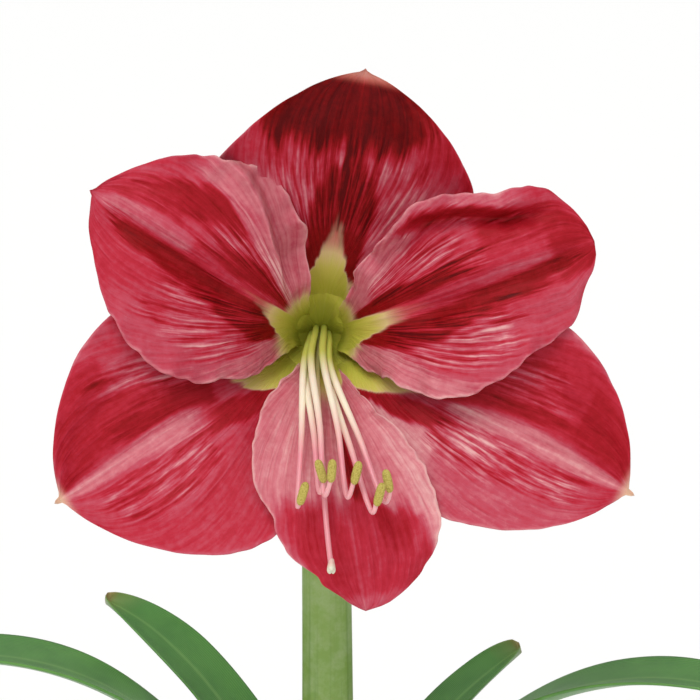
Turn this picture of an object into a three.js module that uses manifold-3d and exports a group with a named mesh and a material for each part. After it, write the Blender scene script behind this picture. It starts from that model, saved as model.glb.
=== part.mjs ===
// A potted amaryllis with one open bloom and two buds, in millimetres, +Z up.
// The origin is the middle of the pot's underside, and the bloom faces -Y.
//
// The bloom is one funnel, flared from a narrow tube to a wide rim. Each tepal is a patch of that
// funnel: three outer tepals lie just behind it and three inner ones just in front of it.

import * as THREE from 'three';
import { mergeVertices } from 'three/addons/utils/BufferGeometryUtils.js';
import Module from 'manifold-3d';

const wasm = await Module();
wasm.setup();

// Driving dimensions

const SEAT = 0.3; // gap between pieces that rest on each other
const POT = { height: 118, rimRadius: 77, rimHeight: 27, bodyTop: 70, bodyFoot: 52, wall: 6, floor: 7 };
const DRAIN = { count: 3, radius: 5.5, ring: 27 };
const SOIL_TOP = 101;
const BULB = { foot: 57, radius: 44, neckRadius: 21, top: 153, pocketRadius: 18, pocketDepth: 11 };
const SCAPE = {
  base: [0, -8.5],
  head: [0, -6, 384],
  halfWidth: 10.5,
  halfDepth: 8,
  taper: 0.8,
  swelling: 0.12,
};
const SCAPE_BEND = { share: 0.45, place: [1.5, -9.5] }; // where the scape stands, 45% of the way up
const LEAF_BASE = { halfWidth: 6, thick: 2.8, channel: 2.5 };
const LEAF_TIP = { thick: 1.6, channel: 3.5, edge: 0.45, taperFrom: 0.55, blunt: 2.6 };
const FACING = { tilt: 12, turn: 4 }; // degrees that the bloom looks up, and to the viewer's right
const BLOOM_SEAT = [3, -56, 412]; // middle of the bloom's tube floor
const TEPAL = { thick: 0.8, layerFull: 0.6, bowFull: 0.75, flatter: 0.65, keelRound: 0.015 };
const LAYER = { inner: [0.7, 3.9], outer: [-0.8, -9.3] }; // height off the funnel at the tube, and beyond
const TEPAL_ROWS = 20;
const TEPAL_COLUMNS = 12;
const STAMEN = { ring: 2.8, footRadius: 0.95, radius: 1.2, thickest: 0.35, tipRadius: 0.75 };
const ANTHER = { length: 7, radius: 1.7, blunt: 0.94 };
const TUBE = { foot: -13, footRadius: 4.6, topRadius: 6.9 };
const OVARY = { foot: -31, radius: 6.8, neckRadius: 4.2, ribs: 3, ribHeight: 0.07 };
const PEDICEL = { pull: 0.38, taper: 0.88, bloomRadius: 4.3, budRadius: 3.2 };
const BUD_RIDGES = { count: 3, height: 0.06 };
const BRACT = { halfWidth: 8.5, halfThick: 0.4, droop: 44, below: 6 };

// Numbers and small helpers

const rad = THREE.MathUtils.degToRad;
const lerp = THREE.MathUtils.lerp;
const clamp = THREE.MathUtils.clamp;
const vec = (x, y, z) => new THREE.Vector3(x, y, z);

/** Smooth step from 0 to 1. */
function ease(x) {
  const c = clamp(x, 0, 1);
  return c * c * (3 - 2 * c);
}

// Closed meshes

/** A closed mesh from points and triangles, with its faces turned outwards. */
function closedMesh(points, triangles) {
  let volume = 0;
  for (const [a, b, c] of triangles) {
    volume += points[a].dot(points[b].clone().cross(points[c]));
  }
  const index = volume < 0 ? triangles.flatMap(([a, b, c]) => [a, c, b]) : triangles.flat();
  const geometry = new THREE.BufferGeometry().setFromPoints(points);
  geometry.setIndex(index);
  return geometry;
}

/** A closed body through rings of equal length, with a fan of triangles over each end. */
function loft(rings) {
  const sides = rings[0].length;
  const points = rings.flat();
  const triangles = [];
  for (let i = 0; i + 1 < rings.length; i++) {
    for (let j = 0; j < sides; j++) {
      const a = i * sides + j;
      const b = i * sides + ((j + 1) % sides);
      triangles.push([a, b, b + sides], [a, b + sides, a + sides]);
    }
  }
  for (const [ring, flip] of [[0, false], [rings.length - 1, true]]) {
    const middle = new THREE.Vector3();
    rings[ring].forEach((p) => middle.addScaledVector(p, 1 / sides));
    points.push(middle);
    for (let j = 0; j < sides; j++) {
      const a = ring * sides + j;
      const b = ring * sides + ((j + 1) % sides);
      triangles.push(flip ? [a, b, points.length - 1] : [b, a, points.length - 1]);
    }
  }
  return closedMesh(points, triangles);
}

/** A thin closed blade that ends in a point at u = 1. face(u, v, side) gives its front (1) and back (-1). */
function blade(rows, columns, face) {
  const points = [];
  const triangles = [];
  const width = columns + 1;
  const sheet = rows * width + 1;
  for (const side of [1, -1]) {
    for (let i = 0; i < rows; i++) {
      for (let j = 0; j < width; j++) points.push(face(i / rows, (2 * j) / columns - 1, side));
    }
    points.push(face(1, 0, side));
  }
  const quad = (a, b, c, d) => triangles.push([a, b, c], [a, c, d]);
  for (let i = 0; i < rows; i++) {
    for (let j = 0; j < columns; j++) {
      const a = i * width + j;
      if (i + 1 < rows) {
        quad(a, a + 1, a + 1 + width, a + width);
        triangles.push([sheet + a, sheet + a + 1 + width, sheet + a + 1]);
        triangles.push([sheet + a, sheet + a + width, sheet + a + 1 + width]);
      } else {
        triangles.push([a, a + 1, sheet - 1], [sheet + a, 2 * sheet - 1, sheet + a + 1]);
      }
    }
  }
  const rim = [];
  for (let j = columns; j >= 0; j--) rim.push(j);
  for (let i = 1; i < rows; i++) rim.push(i * width);
  rim.push(sheet - 1);
  for (let i = rows - 1; i >= 0; i--) rim.push(i * width + columns);
  for (let k = 0; k + 1 < rim.length; k++) quad(rim[k], rim[k + 1], rim[k + 1] + sheet, rim[k] + sheet);
  return closedMesh(points, triangles);
}

/** Rings of an oval section along a curve. size(t) gives [across, upright, ridge count, ridge height]. */
function sweep(curve, steps, sides, size) {
  const rings = [];
  for (let i = 0; i <= steps; i++) {
    const t = i / steps;
    const middle = curve.getPoint(t);
    const along = curve.getTangent(t);
    const across = vec(1, 0, 0).cross(along).cross(along).normalize().negate();
    const upright = along.clone().cross(across).normalize();
    const [a, b, ridges = 0, height = 0] = size(t);
    const ring = [];
    for (let j = 0; j < sides; j++) {
      const turn = (2 * Math.PI * j) / sides;
      const swell = 1 + height * Math.cos(ridges * turn);
      const x = a * swell * Math.cos(turn);
      const y = b * swell * Math.sin(turn);
      ring.push(middle.clone().addScaledVector(across, x).addScaledVector(upright, y));
    }
    rings.push(ring);
  }
  return loft(rings);
}

/** A turned body from its outline of [radius, height] pairs, standing along +Z. */
function turned(outline, segments) {
  const points = outline.map(([r, z]) => new THREE.Vector2(r, z));
  return new THREE.LatheGeometry(points, segments).rotateX(Math.PI / 2);
}

function solid(geometry) {
  const bare = new THREE.BufferGeometry().setAttribute('position', geometry.getAttribute('position'));
  if (geometry.index) bare.setIndex(geometry.index);
  const merged = mergeVertices(bare, 1e-3);
  return new wasm.Manifold(
    new wasm.Mesh({
      numProp: 3,
      vertProperties: new Float32Array(merged.getAttribute('position').array),
      triVerts: new Uint32Array(merged.index.array),
    }),
  );
}

function geometryOf(manifold) {
  const mesh = manifold.getMesh();
  const geometry = new THREE.BufferGeometry();
  geometry.setAttribute('position', new THREE.BufferAttribute(mesh.vertProperties, 3));
  return geometry.setIndex(new THREE.BufferAttribute(mesh.triVerts, 1));
}

function cut(body, ...tools) {
  return geometryOf(tools.reduce((left, tool) => left.subtract(solid(tool)), solid(body)));
}

function join(...bodies) {
  return geometryOf(bodies.map(solid).reduce((all, next) => all.add(next)));
}

// Materials

const finish = (color, roughness) => new THREE.MeshStandardMaterial({ color, roughness, metalness: 0 });
const CLAY = finish('#b4653f', 0.9);
const SOIL = finish('#3a2a20', 1);
const TUNIC = finish('#8a5a38', 0.8);
const STALK = finish('#7fa04e', 0.5);
const LEAF = finish('#4f8a3a', 0.45);
const SPATHE = finish('#b59a72', 0.8);
const PETAL = finish('#cf3550', 0.5);
const BUD = finish('#c9475c', 0.5);
const FILAMENT = finish('#f0c9c4', 0.5);
const STYLE = finish('#f1d3cd', 0.5);

const plant = new THREE.Group();

function add(name, geometry, material, parent = plant) {
  const mesh = new THREE.Mesh(geometry, material);
  mesh.name = name;
  parent.add(mesh);
  return mesh;
}

// Pot

function pot() {
  const { height, rimRadius, rimHeight, bodyTop, bodyFoot, wall, floor } = POT;
  const body = turned(
    [
      [0, 0],
      [bodyFoot - 2, 0],
      [bodyFoot, 2],
      [bodyTop, height - rimHeight - 2],
      [rimRadius - 2.5, height - rimHeight],
      [rimRadius - 1.5, height - rimHeight + 2],
      [rimRadius, height - 3],
      [rimRadius - 2, height],
      [rimRadius - wall, height],
      [rimRadius - wall - 1.5, height - 2],
      [potInside(SOIL_TOP), SOIL_TOP],
      [potInside(floor), floor],
      [0, floor],
    ],
    40,
  );
  const drains = Array.from({ length: DRAIN.count }, (_, i) => {
    const turn = (2 * Math.PI * i) / DRAIN.count;
    const hole = new THREE.CylinderGeometry(DRAIN.radius, DRAIN.radius, floor * 3, 12).rotateX(Math.PI / 2);
    return hole.translate(DRAIN.ring * Math.cos(turn), DRAIN.ring * Math.sin(turn), floor / 2);
  });
  return cut(body, ...drains);
}

/** Inner radius of the pot at a height. */
function potInside(z) {
  return lerp(POT.bodyFoot - POT.wall, POT.rimRadius - POT.wall - 2.5, z / POT.height);
}

// Bulb and soil

/** The bulb's outline, grown outwards by some millimetres. */
function bulbOutline(grow = 0) {
  const { foot, radius, neckRadius, top } = BULB;
  const equator = foot + radius * 0.98;
  const shape = new THREE.SplineCurve([
    new THREE.Vector2(radius * 0.4, foot),
    new THREE.Vector2(radius * 0.86, foot + radius * 0.38),
    new THREE.Vector2(radius, equator),
    new THREE.Vector2(radius * 0.86, equator + radius * 0.5),
    new THREE.Vector2(neckRadius * 1.2, top - 20),
    new THREE.Vector2(neckRadius, top),
  ]);
  const side = shape.getPoints(11).map((p) => [p.x + grow, p.y]);
  return [[0, foot - grow], ...side, [0, top]];
}

function bulb() {
  const { top, pocketRadius, pocketDepth } = BULB;
  const pocket = turned(
    [
      [0, top - pocketDepth],
      [pocketRadius, top - pocketDepth],
      [pocketRadius, top + 5],
      [0, top + 5],
    ],
    24,
  );
  return cut(turned(bulbOutline(), 28), pocket);
}

function soil() {
  const floor = POT.floor + SEAT;
  const edge = potInside(SOIL_TOP) - SEAT;
  const geometry = turned(
    [
      [0, floor],
      [potInside(floor) - SEAT, floor],
      [edge, SOIL_TOP],
      [edge * 0.86, SOIL_TOP + 1],
      [edge * 0.72, SOIL_TOP + 2],
      [0, SOIL_TOP + 3],
    ],
    36,
  );
  const place = geometry.getAttribute('position');
  for (let i = 0; i < place.count; i++) {
    const [x, y, z] = [place.getX(i), place.getY(i), place.getZ(i)];
    const inward = ease((edge - Math.hypot(x, y)) / 8);
    const crumbs = Math.sin(x / 4.1) * Math.cos(y / 5.3) + 0.6 * Math.sin((x + y) / 3.1);
    if (z > SOIL_TOP) place.setZ(i, z + 1.1 * inward * crumbs);
  }
  return cut(geometry, turned(bulbOutline(SEAT), 28));
}

// Leaves: arched blades with a shallow channel

/** Each leaf: where it stands in the neck, which way it arches, and how far. */
const LEAVES = [
  { name: 'leaf_left_outer', at: [-11, 5.5], heading: 194, length: 285, halfWidth: 21, climb: 80, arch: 130 },
  { name: 'leaf_right_outer', at: [11, 5.5], heading: -16, length: 270, halfWidth: 20, climb: 80, arch: 122 },
  { name: 'leaf_left_inner', at: [-5.4, 6.5], heading: 156, length: 180, halfWidth: 18, climb: 84, arch: 68 },
  { name: 'leaf_right_inner', at: [5.2, 6.5], heading: 24, length: 155, halfWidth: 17, climb: 83, arch: 58 },
];

function leaf({ at: foot, heading, length, halfWidth, climb: start, arch }) {
  const rows = 16;
  const out = vec(Math.cos(rad(heading)), Math.sin(rad(heading)), 0);
  const across = vec(0, 0, 1).cross(out);
  const stations = [{ at: vec(...foot, BULB.top - BULB.pocketDepth + SEAT), climb: rad(start) }];
  for (let i = 1; i <= rows; i++) {
    const share = (i - 0.5) / rows;
    const climb = rad(start - arch * share ** 1.5);
    const step = out.clone().multiplyScalar(Math.cos(climb)).setZ(Math.sin(climb));
    stations.push({ at: stations[i - 1].at.clone().addScaledVector(step, length / rows), climb });
  }
  return blade(rows, 6, (u, v, side) => {
    const { at, climb } = stations[Math.round(u * rows)];
    const inner = out.clone().multiplyScalar(-Math.sin(climb)).setZ(Math.cos(climb));
    const half = leafHalfWidth(u, halfWidth);
    const channel = lerp(LEAF_BASE.channel, LEAF_TIP.channel, ease(u * 2)) * v * v;
    const thick = (lerp(LEAF_BASE.thick, LEAF_TIP.thick, u) * lerp(1, LEAF_TIP.edge, v * v)) / 2;
    return at.clone().addScaledVector(across, half * v).addScaledVector(inner, channel + side * thick);
  });
}

/** Half-width of a leaf: a narrow base, a long even middle and a blunt tip. */
function leafHalfWidth(u, halfWidth) {
  const { taperFrom, blunt } = LEAF_TIP;
  const spread = lerp(LEAF_BASE.halfWidth / halfWidth, 1, ease((u + 0.02) / 0.5));
  const tip = Math.sqrt(Math.max(0, 1 - clamp((u - taperFrom) / (1 - taperFrom), 0, 1) ** blunt));
  return halfWidth * spread * tip;
}

// Scape, with the swollen head that carries the umbel

function scapeCurve() {
  const { base, head } = SCAPE;
  const foot = vec(base[0], base[1], BULB.top - BULB.pocketDepth + SEAT);
  const top = vec(...head);
  const bend = vec(...SCAPE_BEND.place, lerp(foot.z, top.z, SCAPE_BEND.share));
  return new THREE.CatmullRomCurve3([foot, bend, top]);
}

function scape() {
  const { halfWidth, halfDepth, taper, swelling } = SCAPE;
  return sweep(scapeCurve(), 14, 14, (t) => {
    const slim = lerp(1, taper, t) + swelling * ease((t - 0.93) / 0.07);
    return [halfWidth * slim, halfDepth * slim];
  });
}

// Bloom

const bloom = new THREE.Group();
const forward = vec(
  Math.sin(rad(FACING.turn)) * Math.cos(rad(FACING.tilt)),
  -Math.cos(rad(FACING.turn)) * Math.cos(rad(FACING.tilt)),
  Math.sin(rad(FACING.tilt)),
);
const rightward = vec(0, 0, 1).cross(forward).normalize();
bloom.position.set(...BLOOM_SEAT);
bloom.quaternion.setFromRotationMatrix(
  new THREE.Matrix4().makeBasis(rightward, forward.clone().cross(rightward), forward),
);
plant.add(bloom);

/** The funnel's generator, from the tube outwards: its slope falls from steep to level. */
const FUNNEL = {
  tubeRadius: 5.2,
  baseSlope: 79,
  rimSlope: 2,
  turnStart: 10,
  turnEnd: 118,
  sharpness: 0.82,
  length: 160,
};
/** How far the funnel comes forward in some directions: [direction in degrees, millimetres]. */
const LEANS = [
  [79.6, 14],
  [148, 0],
  [212.8, -5],
  [279.7, 5],
  [332.8, -5],
  [378.4, 0],
];
const LEAN_SPREAD = 62; // degrees to each side

function funnelSlope(run) {
  const turn = ease((run - FUNNEL.turnStart) / (FUNNEL.turnEnd - FUNNEL.turnStart)) ** FUNNEL.sharpness;
  return rad(lerp(FUNNEL.baseSlope, FUNNEL.rimSlope, turn));
}

const GENERATOR_STEP = 0.25;
const generator = [{ run: 0, radius: FUNNEL.tubeRadius, depth: 0 }];
while (generator.at(-1).run < FUNNEL.length) {
  const { run, radius, depth } = generator.at(-1);
  const slope = funnelSlope(run + GENERATOR_STEP / 2);
  generator.push({
    run: run + GENERATOR_STEP,
    radius: radius + GENERATOR_STEP * Math.cos(slope),
    depth: depth + GENERATOR_STEP * Math.sin(slope),
  });
}

/** Looks up one value of the generator from another, such as its depth at a radius. */
function onGenerator(from, value, want) {
  const next = generator.findIndex((g) => g[from] > value);
  if (next <= 0) return generator.at(next === 0 ? 0 : -1)[want];
  const [a, b] = [generator[next - 1], generator[next]];
  return lerp(a[want], b[want], (value - a[from]) / (b[from] - a[from]));
}

/** The point of the funnel seen at (x, y), lifted off it by a height along its normal. */
function onFunnel(x, y, height) {
  const radius = Math.max(Math.hypot(x, y), 1e-6);
  const slope = funnelSlope(onGenerator('radius', radius, 'run'));
  const direction = THREE.MathUtils.radToDeg(Math.atan2(y, x));
  const outer = ease((radius - 12) / 75);
  let depth = onGenerator('radius', radius, 'depth');
  for (const [toward, lean] of LEANS) {
    const off = THREE.MathUtils.euclideanModulo(direction - toward + 180, 360) - 180;
    if (Math.abs(off) < LEAN_SPREAD) depth += lean * outer * Math.cos((Math.PI * off) / LEAN_SPREAD / 2) ** 2;
  }
  const inward = (Math.sin(slope) * height) / radius;
  return vec(x - x * inward, y - y * inward, depth + Math.cos(slope) * height);
}

/**
 * A side of a tepal, from its midrib to its margin: half-width, where it is widest, how late it widens,
 * the two exponents of its tip, its half-angle on the tube, and the most that it may ever span so that it
 * stays clear of its neighbour. Its margin curls and waves by some millimetres, and each bite (place, depth,
 * breadth) takes a bell out of the outline.
 */
function side(width, widest, rise, p, q, base, span, margin) {
  const plain = { curl: 0, waves: 0, swing: 0, phase: 0, bites: [] };
  return { width, widest, rise, p, q, base, span, ...plain, ...margin };
}

/** Each tepal: its direction, how far it sways from that at its base, its reach, channel, tip and hood. */
const TEPALS = [
  {
    name: 'tepal_outer_top',
    inner: false,
    direction: 79.6,
    sway: 0,
    reach: 82,
    keel: 3,
    tip: 4,
    hood: 11,
    left: side(49, 0.66, 1, 1.3, 0.75, 56, 65, { curl: 3 }),
    right: side(47, 0.66, 1, 1.9, 0.75, 50, 52, { curl: 3 }),
  },
  {
    name: 'tepal_outer_lower_left',
    inner: false,
    direction: 212.8,
    sway: 5,
    reach: 98.5,
    keel: 8.5,
    tip: -6,
    hood: 0,
    left: side(49, 0.66, 1, 1.7, 0.8, 56, 56, { curl: 2, waves: 2, swing: 1 }),
    right: side(41.5, 0.62, 1, 2.2, 0.8, 56, 65, { curl: -2 }),
  },
  {
    name: 'tepal_outer_lower_right',
    inner: false,
    direction: -27.2,
    sway: -2.7,
    reach: 111.5,
    keel: 8.5,
    tip: -6,
    hood: 0,
    left: side(39.5, 0.64, 1, 2.4, 0.8, 50, 50, { curl: -2 }),
    right: side(34.3, 0.6, 1, 2.4, 0.85, 56, 54, { curl: 2 }),
  },
  {
    name: 'tepal_inner_upper_left',
    inner: true,
    direction: 148,
    sway: 3.8,
    reach: 84,
    keel: -1.5,
    tip: -4,
    hood: 0,
    left: side(39, 0.58, 0.9, 2.2, 0.87, 50, 62, {
      curl: -1.5,
      waves: 1.6,
      swing: 1.2,
      bites: [[0.42, -2.5, 0.07]],
    }),
    right: side(33.5, 0.66, 1.22, 2.1, 0.75, 32, 64, { waves: 2.2, swing: 1.2, phase: 0.3 }),
  },
  {
    name: 'tepal_inner_upper_right',
    inner: true,
    direction: 18.4,
    sway: -3.5,
    reach: 92,
    keel: -1.5,
    tip: -4,
    hood: 0,
    left: side(28.5, 0.66, 1.3, 2.6, 0.55, 32, 64, {
      waves: 3.4,
      swing: 1.8,
      phase: 0.1,
      bites: [
        [0.66, -1.6, 0.05],
        [0.82, 2.6, 0.05],
        [0.92, -1.5, 0.05],
      ],
    }),
    right: side(35, 0.56, 1, 2.2, 0.58, 46, 52, {
      curl: -1.5,
      waves: 3,
      swing: 1.4,
      bites: [
        [0.78, 2, 0.05],
        [0.88, 0.5, 0.04],
        [0.95, 2.5, 0.03],
      ],
    }),
  },
  {
    name: 'tepal_inner_bottom',
    inner: true,
    direction: -80.3,
    sway: 0,
    reach: 89,
    keel: 2.5,
    tip: -10,
    hood: 0,
    left: side(29, 0.72, 1.2, 2.6, 0.75, 30, 42, { curl: -2, waves: 2.5, swing: 1.5 }),
    right: side(30, 0.62, 1.35, 1.55, 0.9, 30, 60, {
      curl: -2,
      waves: 3,
      swing: 1.5,
      phase: 0.4,
      bites: [
        [0.73, 2.2, 0.04],
        [0.88, 1.2, 0.04],
      ],
    }),
  },
];

/** Half-width of one side of a tepal: it widens smoothly from the tube and closes to the tip. */
function sideWidth(u, midrib, { width, widest, rise, p, q, base, span, bites }) {
  const onTube = rad(base) * FUNNEL.tubeRadius;
  const widening = lerp(onTube, width, 0.5 - 0.5 * Math.cos(Math.PI * Math.min(u / widest, 1) ** rise));
  const closing = (1 - Math.max(0, (u - widest) / (1 - widest)) ** p) ** q;
  const most = rad(span) * midrib;
  const half = closing * widening * (1 + (widening / most) ** 10) ** -0.1;
  const bitten = bites.map(([at, depth, breadth]) => depth * Math.exp(-(((u - at) / breadth) ** 2)));
  return Math.max(0, half - Math.min(1, closing * 4) * bitten.reduce((sum, depth) => sum + depth, 0));
}

/** Height of a tepal's face off the funnel: its layer, channel, waved margin, tip and hood. */
function tepalRelief({ inner, keel, tip, hood, left, right }, u, v) {
  const edge = Math.abs(v);
  const { curl, waves, swing, phase } = v > 0 ? left : right;
  const layer = lerp(...(inner ? LAYER.inner : LAYER.outer), ease(u / TEPAL.layerFull));
  const channel = keel * ease(u / 0.5) * (Math.sqrt(v * v + TEPAL.keelRound) - Math.sqrt(TEPAL.keelRound));
  const wave = swing * Math.sin(2 * Math.PI * (waves * u + phase)) * edge ** 2.2;
  const middle = ease((u - 0.15) / 0.35) * (1 - ease((u - 0.86) / 0.16));
  const end = tip * ease((u - 0.72) / 0.28) ** 1.5 + hood * Math.max(0, (u - 0.6) / 0.4) ** 1.8;
  return layer + channel + (wave + curl * edge ** 3) * middle + end;
}

function tepal(shape) {
  const run = onGenerator('radius', shape.reach, 'run');
  return blade(TEPAL_ROWS, TEPAL_COLUMNS, (u, v, face) => {
    const midrib = onGenerator('run', u * run, 'radius');
    const out = v * sideWidth(u, midrib, v > 0 ? shape.left : shape.right);
    const bow = (1 - TEPAL.flatter * ease((u - 0.15) / (TEPAL.bowFull - 0.15))) / midrib;
    const across = Math.sin(bow * out) / bow;
    const along = midrib - (1 - Math.cos(bow * out)) / bow;
    const heading = rad(shape.direction + shape.sway * (1 - ease(u / 0.7)));
    const [c, s] = [Math.cos(heading), Math.sin(heading)];
    const height = tepalRelief(shape, u, v) - (face < 0 ? TEPAL.thick : 0);
    return onFunnel(along * c - across * s, along * s + across * c, height);
  });
}

/** The fused foot of the bloom: a plain cone whose flat top carries the tepals and stamens. */
function perianthTube() {
  return turned(
    [
      [0, TUBE.foot],
      [TUBE.footRadius, TUBE.foot],
      [TUBE.footRadius + 0.6, TUBE.foot + 4],
      [TUBE.topRadius - 0.4, -2],
      [TUBE.topRadius, -2 * SEAT],
      [0, -2 * SEAT],
    ],
    18,
  );
}

/** Six stamens: [place round the tube's middle in degrees, then the filament's end in millimetres]. */
const STAMENS = [
  [167, -5.2, -47, 84],
  [219, 0.6, -49, 86],
  [116, 5.2, -48, 90],
  [64, 10.8, -50, 86],
  [321, 18.4, -56, 87],
  [13, 23, -51, 84],
];

/** A filament's middle line: up the tube, down over the lower tepals and out to the anther. */
function stamenCurve([place, x, y, depth]) {
  const ringX = STAMEN.ring * Math.cos(rad(place));
  const ringY = STAMEN.ring * Math.sin(rad(place));
  const way = vec(lerp(1.8 * ringX, x, 0.45), lerp(-14, y, 0.55) + 0.6 * ringY, lerp(52, depth, 0.62));
  return new THREE.CatmullRomCurve3([
    vec(ringX, ringY, SEAT),
    vec(1.15 * ringX, 1.15 * ringY - 2.5, 26),
    vec(1.6 * ringX - 0.5, 1.2 * ringY - 12, 50),
    way,
    vec(x, y, depth),
  ]);
}

function stamen(spec) {
  const curve = stamenCurve(spec);
  const { footRadius, radius, thickest, tipRadius } = STAMEN;
  const filament = sweep(curve, 15, 6, (t) => {
    const thick = lerp(footRadius, radius, ease(t / thickest));
    const r = lerp(thick, tipRadius, ease((t - thickest) / (1 - thickest)));
    return [r, r];
  });
  const end = curve.getPoint(1);
  const foot = vec(end.x, end.y - 1, end.z + 0.6);
  const reach = new THREE.LineCurve3(foot, foot.clone().add(vec(0.6, ANTHER.length, 0.6)));
  const anther = sweep(reach, 6, 6, (t) => {
    const r = ANTHER.radius * Math.sqrt(1 - (2 * t - 1) ** 2 * ANTHER.blunt);
    return [r, r];
  });
  return join(filament, anther);
}

/** The style's radius, and where it runs: up the middle of the filaments and on past them. */
const STYLE_RADIUS = 0.85;
const STYLE_ROUTE = [
  [0, 0, SEAT],
  [-0.2, -2.8, 26],
  [-0.4, -15, 50],
  [1.6, -43, 72],
  [2.6, -58, 79],
  [4.3, -73, 84],
];
const STIGMA = { reach: 2.6, radius: 1.1, directions: [90, 210, 330] };

/** The style with its three-lobed stigma. */
function style() {
  const curve = new THREE.CatmullRomCurve3(STYLE_ROUTE.map((p) => vec(...p)));
  const stalk = sweep(curve, 18, 6, () => [STYLE_RADIUS, STYLE_RADIUS]);
  const end = curve.getPoint(1);
  const from = end.clone().add(vec(0, 1.5, -0.8));
  const lobes = STIGMA.directions.map((turn) => {
    const [c, s] = [Math.cos(rad(turn)), Math.sin(rad(turn))];
    const tip = end.clone().add(vec(STIGMA.reach * c, 1.2 * s - 1.5, 1.8 * s + 1.5));
    return sweep(new THREE.LineCurve3(from, tip), 3, 6, (t) => {
      const r = lerp(STYLE_RADIUS, STIGMA.radius, t);
      return [r, r];
    });
  });
  return join(stalk, ...lobes);
}

// Umbel: pedicels with their ovaries, buds and the two spathe bracts

const HEAD = vec(...SCAPE.head);

/** The bloom's ovary, just behind the tube and in line with it. */
function ovary() {
  const { foot, radius, neckRadius, ribs, ribHeight } = OVARY;
  const line = new THREE.LineCurve3(vec(0, 0, foot), vec(0, 0, TUBE.foot - SEAT));
  return sweep(line, 8, 12, (t) => {
    const r = lerp(neckRadius, radius, Math.sin(Math.PI * lerp(0.05, 0.95, t)) ** 0.8);
    return [r, r, ribs, ribHeight];
  });
}

/** A stalk from the head of the scape to a point, leaving upwards and arriving along a direction. */
function pedicel(start, end, arriving, radius) {
  const pull = start.distanceTo(end) * PEDICEL.pull;
  const leaving = start.clone().add(vec(0, 0, pull));
  const nearing = end.clone().addScaledVector(arriving, -pull);
  const curve = new THREE.CubicBezierCurve3(start, leaving, nearing, end);
  return sweep(curve, 9, 8, (t) => {
    const r = radius * lerp(1, PEDICEL.taper, t);
    return [r, r];
  });
}

/** The buds: where the stalk leaves the head and where it ends, and the bud's way, length and radius. */
const BUDS = [
  { name: 'bud_large', from: [-5, 2.5], to: [-16, 24, 416], way: [-0.3, 0.82, 0.44], size: [84, 14.5] },
  { name: 'bud_small', from: [5.5, 2.5], to: [17, 17, 413], way: [0.42, 0.6, 0.68], size: [62, 10.5] },
];

/** A closed bud with its ovary: six tepals wrapped tight, so that the section has three soft ridges. */
function bud({ to, way, size: [length, radius] }) {
  const foot = vec(...to);
  const line = new THREE.LineCurve3(foot, foot.clone().addScaledVector(vec(...way).normalize(), length));
  return sweep(line, 13, 12, (t) => {
    const ovaryPart = 0.36 * Math.exp(-(((t - 0.09) / 0.075) ** 2)) + 0.18 * (1 - t);
    const closing = Math.max(0, 1 - (Math.max(0, t - 0.52) / 0.48) ** 2) ** 0.62;
    const neck = 0.3 * (1 - ease((t - 0.8) / 0.1));
    const r = radius * Math.max(neck, 0.98 * ease((t - 0.1) / 0.42) * closing, ovaryPart, 0.05);
    return [r, r, BUD_RIDGES.count, BUD_RIDGES.height * ease((t - 0.25) / 0.3)];
  });
}

/** A withered bract that hangs from under the head. */
function bract(way) {
  const rows = 9;
  const out = vec(Math.cos(rad(way)), Math.sin(rad(way)), 0);
  const across = vec(0, 0, 1).cross(out);
  const headRadius = SCAPE.halfWidth * (SCAPE.taper + SCAPE.swelling);
  const start = vec(HEAD.x, HEAD.y, HEAD.z - BRACT.below);
  start.addScaledVector(out, headRadius + SEAT + BRACT.halfThick);
  const spine = new THREE.CatmullRomCurve3([
    start,
    start.clone().addScaledVector(out, 7).add(vec(0, 0, 5)),
    start.clone().addScaledVector(out, 16).add(vec(0, 0, -10)),
    start.clone().addScaledVector(out, 17).add(vec(0, 0, -BRACT.droop)),
  ]);
  return blade(rows, 4, (u, v, face) => {
    const along = spine.getTangent(u);
    const normal = across.clone().cross(along);
    const half = BRACT.halfWidth * lerp(0.55, 1, ease(u / 0.3)) * (1 - u ** 2.2);
    const point = spine.getPoint(u).addScaledVector(across, half * v);
    return point.addScaledVector(normal, -3 * v * v * (1 - u) + face * BRACT.halfThick);
  });
}

// Assembly

add('pot', pot(), CLAY);
add('soil', soil(), SOIL);
add('bulb', bulb(), TUNIC);
add('scape', scape(), STALK);
LEAVES.forEach((shape) => add(shape.name, leaf(shape), LEAF));

TEPALS.forEach((shape) => add(shape.name, tepal(shape), PETAL, bloom));
add('perianth_tube', perianthTube(), STALK, bloom);
add('ovary', ovary(), STALK, bloom);
STAMENS.forEach((spec, i) => add(`stamen_${i + 1}`, stamen(spec), FILAMENT, bloom));
add('style', style(), STYLE, bloom);

bloom.updateMatrixWorld(true);
const ovaryFoot = bloom.localToWorld(vec(0, 0, OVARY.foot - SEAT));
const bloomStalk = vec(HEAD.x, HEAD.y - 3, HEAD.z + SEAT);
add('pedicel_bloom', pedicel(bloomStalk, ovaryFoot, forward, PEDICEL.bloomRadius), STALK);
for (const shape of BUDS) {
  const [x, y] = shape.from;
  const way = vec(...shape.way).normalize();
  const foot = vec(...shape.to).addScaledVector(way, -SEAT);
  add(`pedicel_${shape.name}`, pedicel(vec(x, y, HEAD.z + SEAT), foot, way, PEDICEL.budRadius), STALK);
  add(shape.name, bud(shape), BUD);
}
add('spathe_left', bract(180), SPATHE);
add('spathe_right', bract(0), SPATHE);

export default plant;
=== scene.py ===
"""Looks of a potted amaryllis: one open bloom, two buds, leaves, scape and bulb in a plain clay pot.

Shapes are worked out in millimetres, as surfaces of two parameters, and become meshes in metres. The bloom
is one funnel flared from a narrow tube to a wide rim, and each tepal is a patch of that funnel.
"""

import logging
import math
from collections.abc import Callable, Sequence
from dataclasses import dataclass, field
from enum import Enum
from functools import partial

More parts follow.
